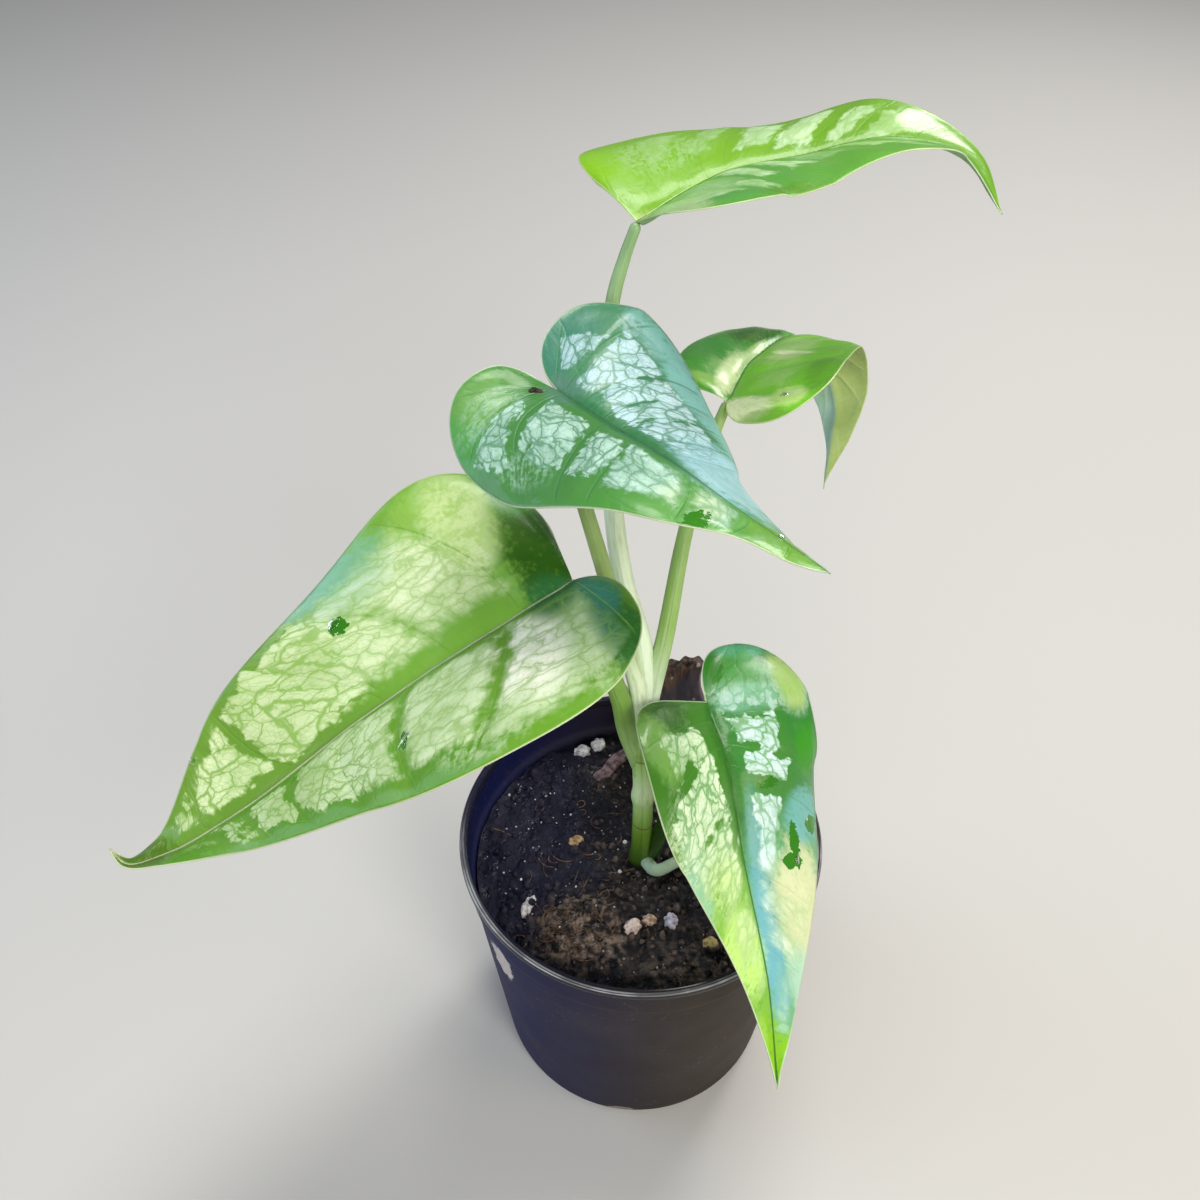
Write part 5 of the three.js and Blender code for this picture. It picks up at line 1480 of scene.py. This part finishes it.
# A coarse chip standing in the soil: it narrows up and down, its top is broken off aslant, and its faces are
# split in long flakes. It leans back on the rim.
def chipSurface():
    width, depth, height = barkChip["size"]
    points, faces = barPoints(height, width / 2, depth / 2, 110, 120)
    z, x, y = points.T
    f = z / height + 0.5
    flakes = drift(x, z * 0.22, 1.4, 81) + 0.5 * drift(x, z * 0.3, 0.6, 82)
    y = y + np.sign(y) * (0.35 * flakes + 0.2 * drift(x, z, 2.5, 83)) * eased(np.abs(y), 0.2, 1.5)
    narrow = 0.78 + 0.22 * np.sin(np.pi * np.minimum(1, 1.2 * f + 0.1))
    ragged = f * (0.3 * x + 0.5 * np.sin(1.4 * x) + 0.35 * drift(x, y, 1.1, 84))
    x, y, z = x * narrow + 0.5 * np.sin(0.4 * z), y + 0.4 * np.sin(0.35 * x), z + ragged + height / 2
    y, z = turned(y, z, -math.radians(barkChip["lean"]))
    x, y = turned(x, y + barkChip["fromAxis"], math.radians(barkChip["bearing"] - 90))
    return np.stack([x, y, z + barkChip["footHeight"]], 1), faces


# Dark split bark, with a smooth greyish patch on one side and pale bits stuck to it.
def chipFinish():
    s = Finish("bark_chip", Specular_IOR_Level=0.25)
    here = s.place()
    x, y, z = s.split(here)
    split = s.clouds(s.join(x, y, z * 0.2), 1.6, 5)
    colour = s.mix("#3a2c28", "#8a6f62", s.eased(split, 0.35, 0.7))
    smooth = s.eased(x + 0.9 * (88 - z) + 3 * (s.clouds(here, 4, 3) - 0.5), 11, 15)
    colour = s.mix(colour, "#5a5460", smooth * 0.85)
    colour = s.mix(colour, "#cfc6be", s.eased(s.cells(here, 3.2), 0.2, 0.12) * 0.8)
    return s.close(colour, 0.8 - 0.15 * smooth, (1 - smooth) * 0.5 * split + 0.1 * s.clouds(here, 0.5, 4))


points, faces = stickSurface()
finish = plainFinish("stick", "#8d7679", "#4a3c42", 1.2, 0.7)
addPiece("stick", points, faces, [finish], ["bark_stick"], "bark")
points, faces = chipSurface()
addPiece("chip", points, faces, [chipFinish()], ["bark_chip"], "bark")
print("bark")

# Water drops and a speck of dirt on the blades: leaf, side, shares t and u, half sizes and turn.
drops = [
    ("left", 0, 0.545, 0.72, (1.5, 1.1, 0.5), 80), ("left", 1, 0.517, 0.6, (0.7, 1.9, 0.6), -60),
    ("left", 0, 0.75, 0.963, (0.9, 0.8, 0.5), 0), ("front", 1, 0.504, 0.83, (1.0, 1.4, 0.4), 10),
    ("front", 1, 0.583, 0.725, (0.9, 1.5, 0.4), -15), ("right", 0, 0.258, 0.65, (0.8, 0.7, 0.45), 0),
    ("top", 1, 0.3, 0.5, (0.35, 0.3, 0.2), 0), ("middle", 1, 0.86, 0.2, (0.8, 0.5, 0.3), 30),
]
speck = [("middle", 0, 0.204, 0.188, (1.3, 0.6, 0.55), 25), ("middle", 0, 0.2, 0.235, (0.6, 0.5, 0.4), 0)]


# A lens on a blade: a dome over a wavy round base, with a shallower dome sunk in the blade. Its frame comes
# from two short steps on the blade.
def lensOn(spot, sunk):
    name, side, t, u, size, turn = spot
    steps = np.array([t, t + 0.004, t]), np.array([u, u, u + 0.01])
    corners, _, _ = bladeHalf(leaves[name], side, bladeSpine(name), *steps)
    along, across = corners[1] - corners[0], corners[2] - corners[0]
    upward = np.cross(along, across) * (-1 if side == 0 else 1)
    upward, along = unit(upward), unit(along)
    across = np.cross(upward, along)
    points, faces = ball(18, 30)
    angle = np.arctan2(points[:, 1], points[:, 0])
    wavy = 1 + 0.1 * np.sin(3 * angle + t * 40) + 0.06 * np.sin(5 * angle + u * 30)
    x, y = turned(points[:, 0] * wavy * size[0], points[:, 1] * wavy * size[1], math.radians(turn))
    z = np.where(points[:, 2] > 0, points[:, 2] * size[2], points[:, 2] * sunk)
    base = corners[0] + upward * 0.2
    return base + x[:, None] * across + y[:, None] * along + z[:, None] * upward, faces


# Several meshes as one: their points in a row, and their triangles numbered on.
def joined(parts):
    starts = np.cumsum([0] + [len(points) for points, _ in parts[:-1]])
    faces = np.concatenate([faces + start for (_, faces), start in zip(parts, starts)])
    return np.concatenate([points for points, _ in parts]), faces


# Clear water with a breath of green.
def waterFinish():
    s = Finish("water", Transmission_Weight=1.0, IOR=1.33, Specular_IOR_Level=0.5)
    return s.close("#e6f4dc", 0.03 + 0.02 * s.clouds(s.place(), 1.0))


points, faces = joined([lensOn(drop, 0.35) for drop in drops])
addPiece("water_drops", points, faces, [waterFinish()])
points, faces = joined([lensOn(bit, 0.3) for bit in speck])
addPiece("dirt_speck", points, faces, [plainFinish("dirt", "#4a3f38", "#17130f", 0.8)], slot="bark")
print("drops")


# Floor, light and camera

# Plain matt grey, a little uneven.
def floorFinish():
    s = Finish("pale_floor", Specular_IOR_Level=0.2)
    return s.close(s.mix("#bdbbb8", "#c2c0bd", s.clouds(s.place(), 300, 2)), 0.8)


floorReach = 4  # metres from the middle to each side
corners = [(-1, -1), (1, -1), (1, 1), (-1, 1)]
floorMesh = bpy.data.meshes.new("floor")
floorMesh.from_pydata([(x * floorReach, y * floorReach, 0) for x, y in corners], [], [(0, 1, 2, 3)])
floorMesh.materials.append(floorFinish())
floor = bpy.data.objects.new("floor", floorMesh)
bpy.context.scene.collection.objects.link(floor)

# Round lamps, in metres: place, what they shine at, size, power and colour.
lamps = {
    "key": ((0.10, 0.22, 0.85), (0, 0, 0.12), 0.34, 3.9, (1.0, 0.98, 0.92)),
    "front": ((-0.12, -0.75, 0.42), (0, 0, 0.1), 0.5, 2.1, (1.0, 0.98, 0.94)),
    "window": ((-0.8, 0.15, 0.5), (0, 0, 0.12), 0.6, 2.6, (0.6, 0.76, 1.0)),
    "high": ((0.2, -0.42, 0.52), (0.03, 0.05, 0.15), 0.22, 1.9, (1.0, 0.98, 0.92)),
    "back": ((0.45, 0.6, 0.6), (0.03, 0.06, 0.16), 0.25, 3.0, (1.0, 0.99, 0.95)),
    "lamp": ((0.8, -0.3, 0.35), (0, 0, 0.1), 0.4, 2.0, (1.0, 0.86, 0.66)),
}


# Puts a lamp at a place, turned so that it shines at another.
def aimed(thing, at, aim):
    toward = np.array(aim, float) - np.array(at, float)
    flat = math.hypot(toward[0], toward[1])
    thing.location = at
    thing.rotation_euler = (math.atan2(flat, -toward[2]), 0, math.atan2(-toward[0], toward[1]))


for name, (at, aim, size, power, colour) in lamps.items():
    light = bpy.data.lights.new(name, "AREA")
    light.shape, light.size, light.energy, light.color = "DISK", size, power, colour
    source = bpy.data.objects.new(name, light)
    bpy.context.scene.collection.objects.link(source)
    aimed(source, at, aim)

studio = {"colour": (0.9, 0.93, 1.0, 1), "strength": 0.22}
world = bpy.data.worlds.new("studio")
world.use_nodes = True
background = world.node_tree.nodes["Background"]
background.inputs[0].default_value, background.inputs[1].default_value = studio["colour"], studio["strength"]
bpy.context.scene.world = world
bpy.context.scene.view_settings.view_transform = "Standard"

view = {"at": (-0.009, -0.156, 0.296), "down": 44.3, "lens": 36, "sensor": 36}
camera = bpy.data.objects.new("camera", bpy.data.cameras.new("camera"))
camera.data.lens, camera.data.sensor_width, camera.data.clip_start = view["lens"], view["sensor"], 0.01
camera.location = view["at"]
camera.rotation_euler = (math.radians(90 - view["down"]), 0, 0)
bpy.context.scene.collection.objects.link(camera)
bpy.context.scene.camera = camera
print("floor, lights and camera")
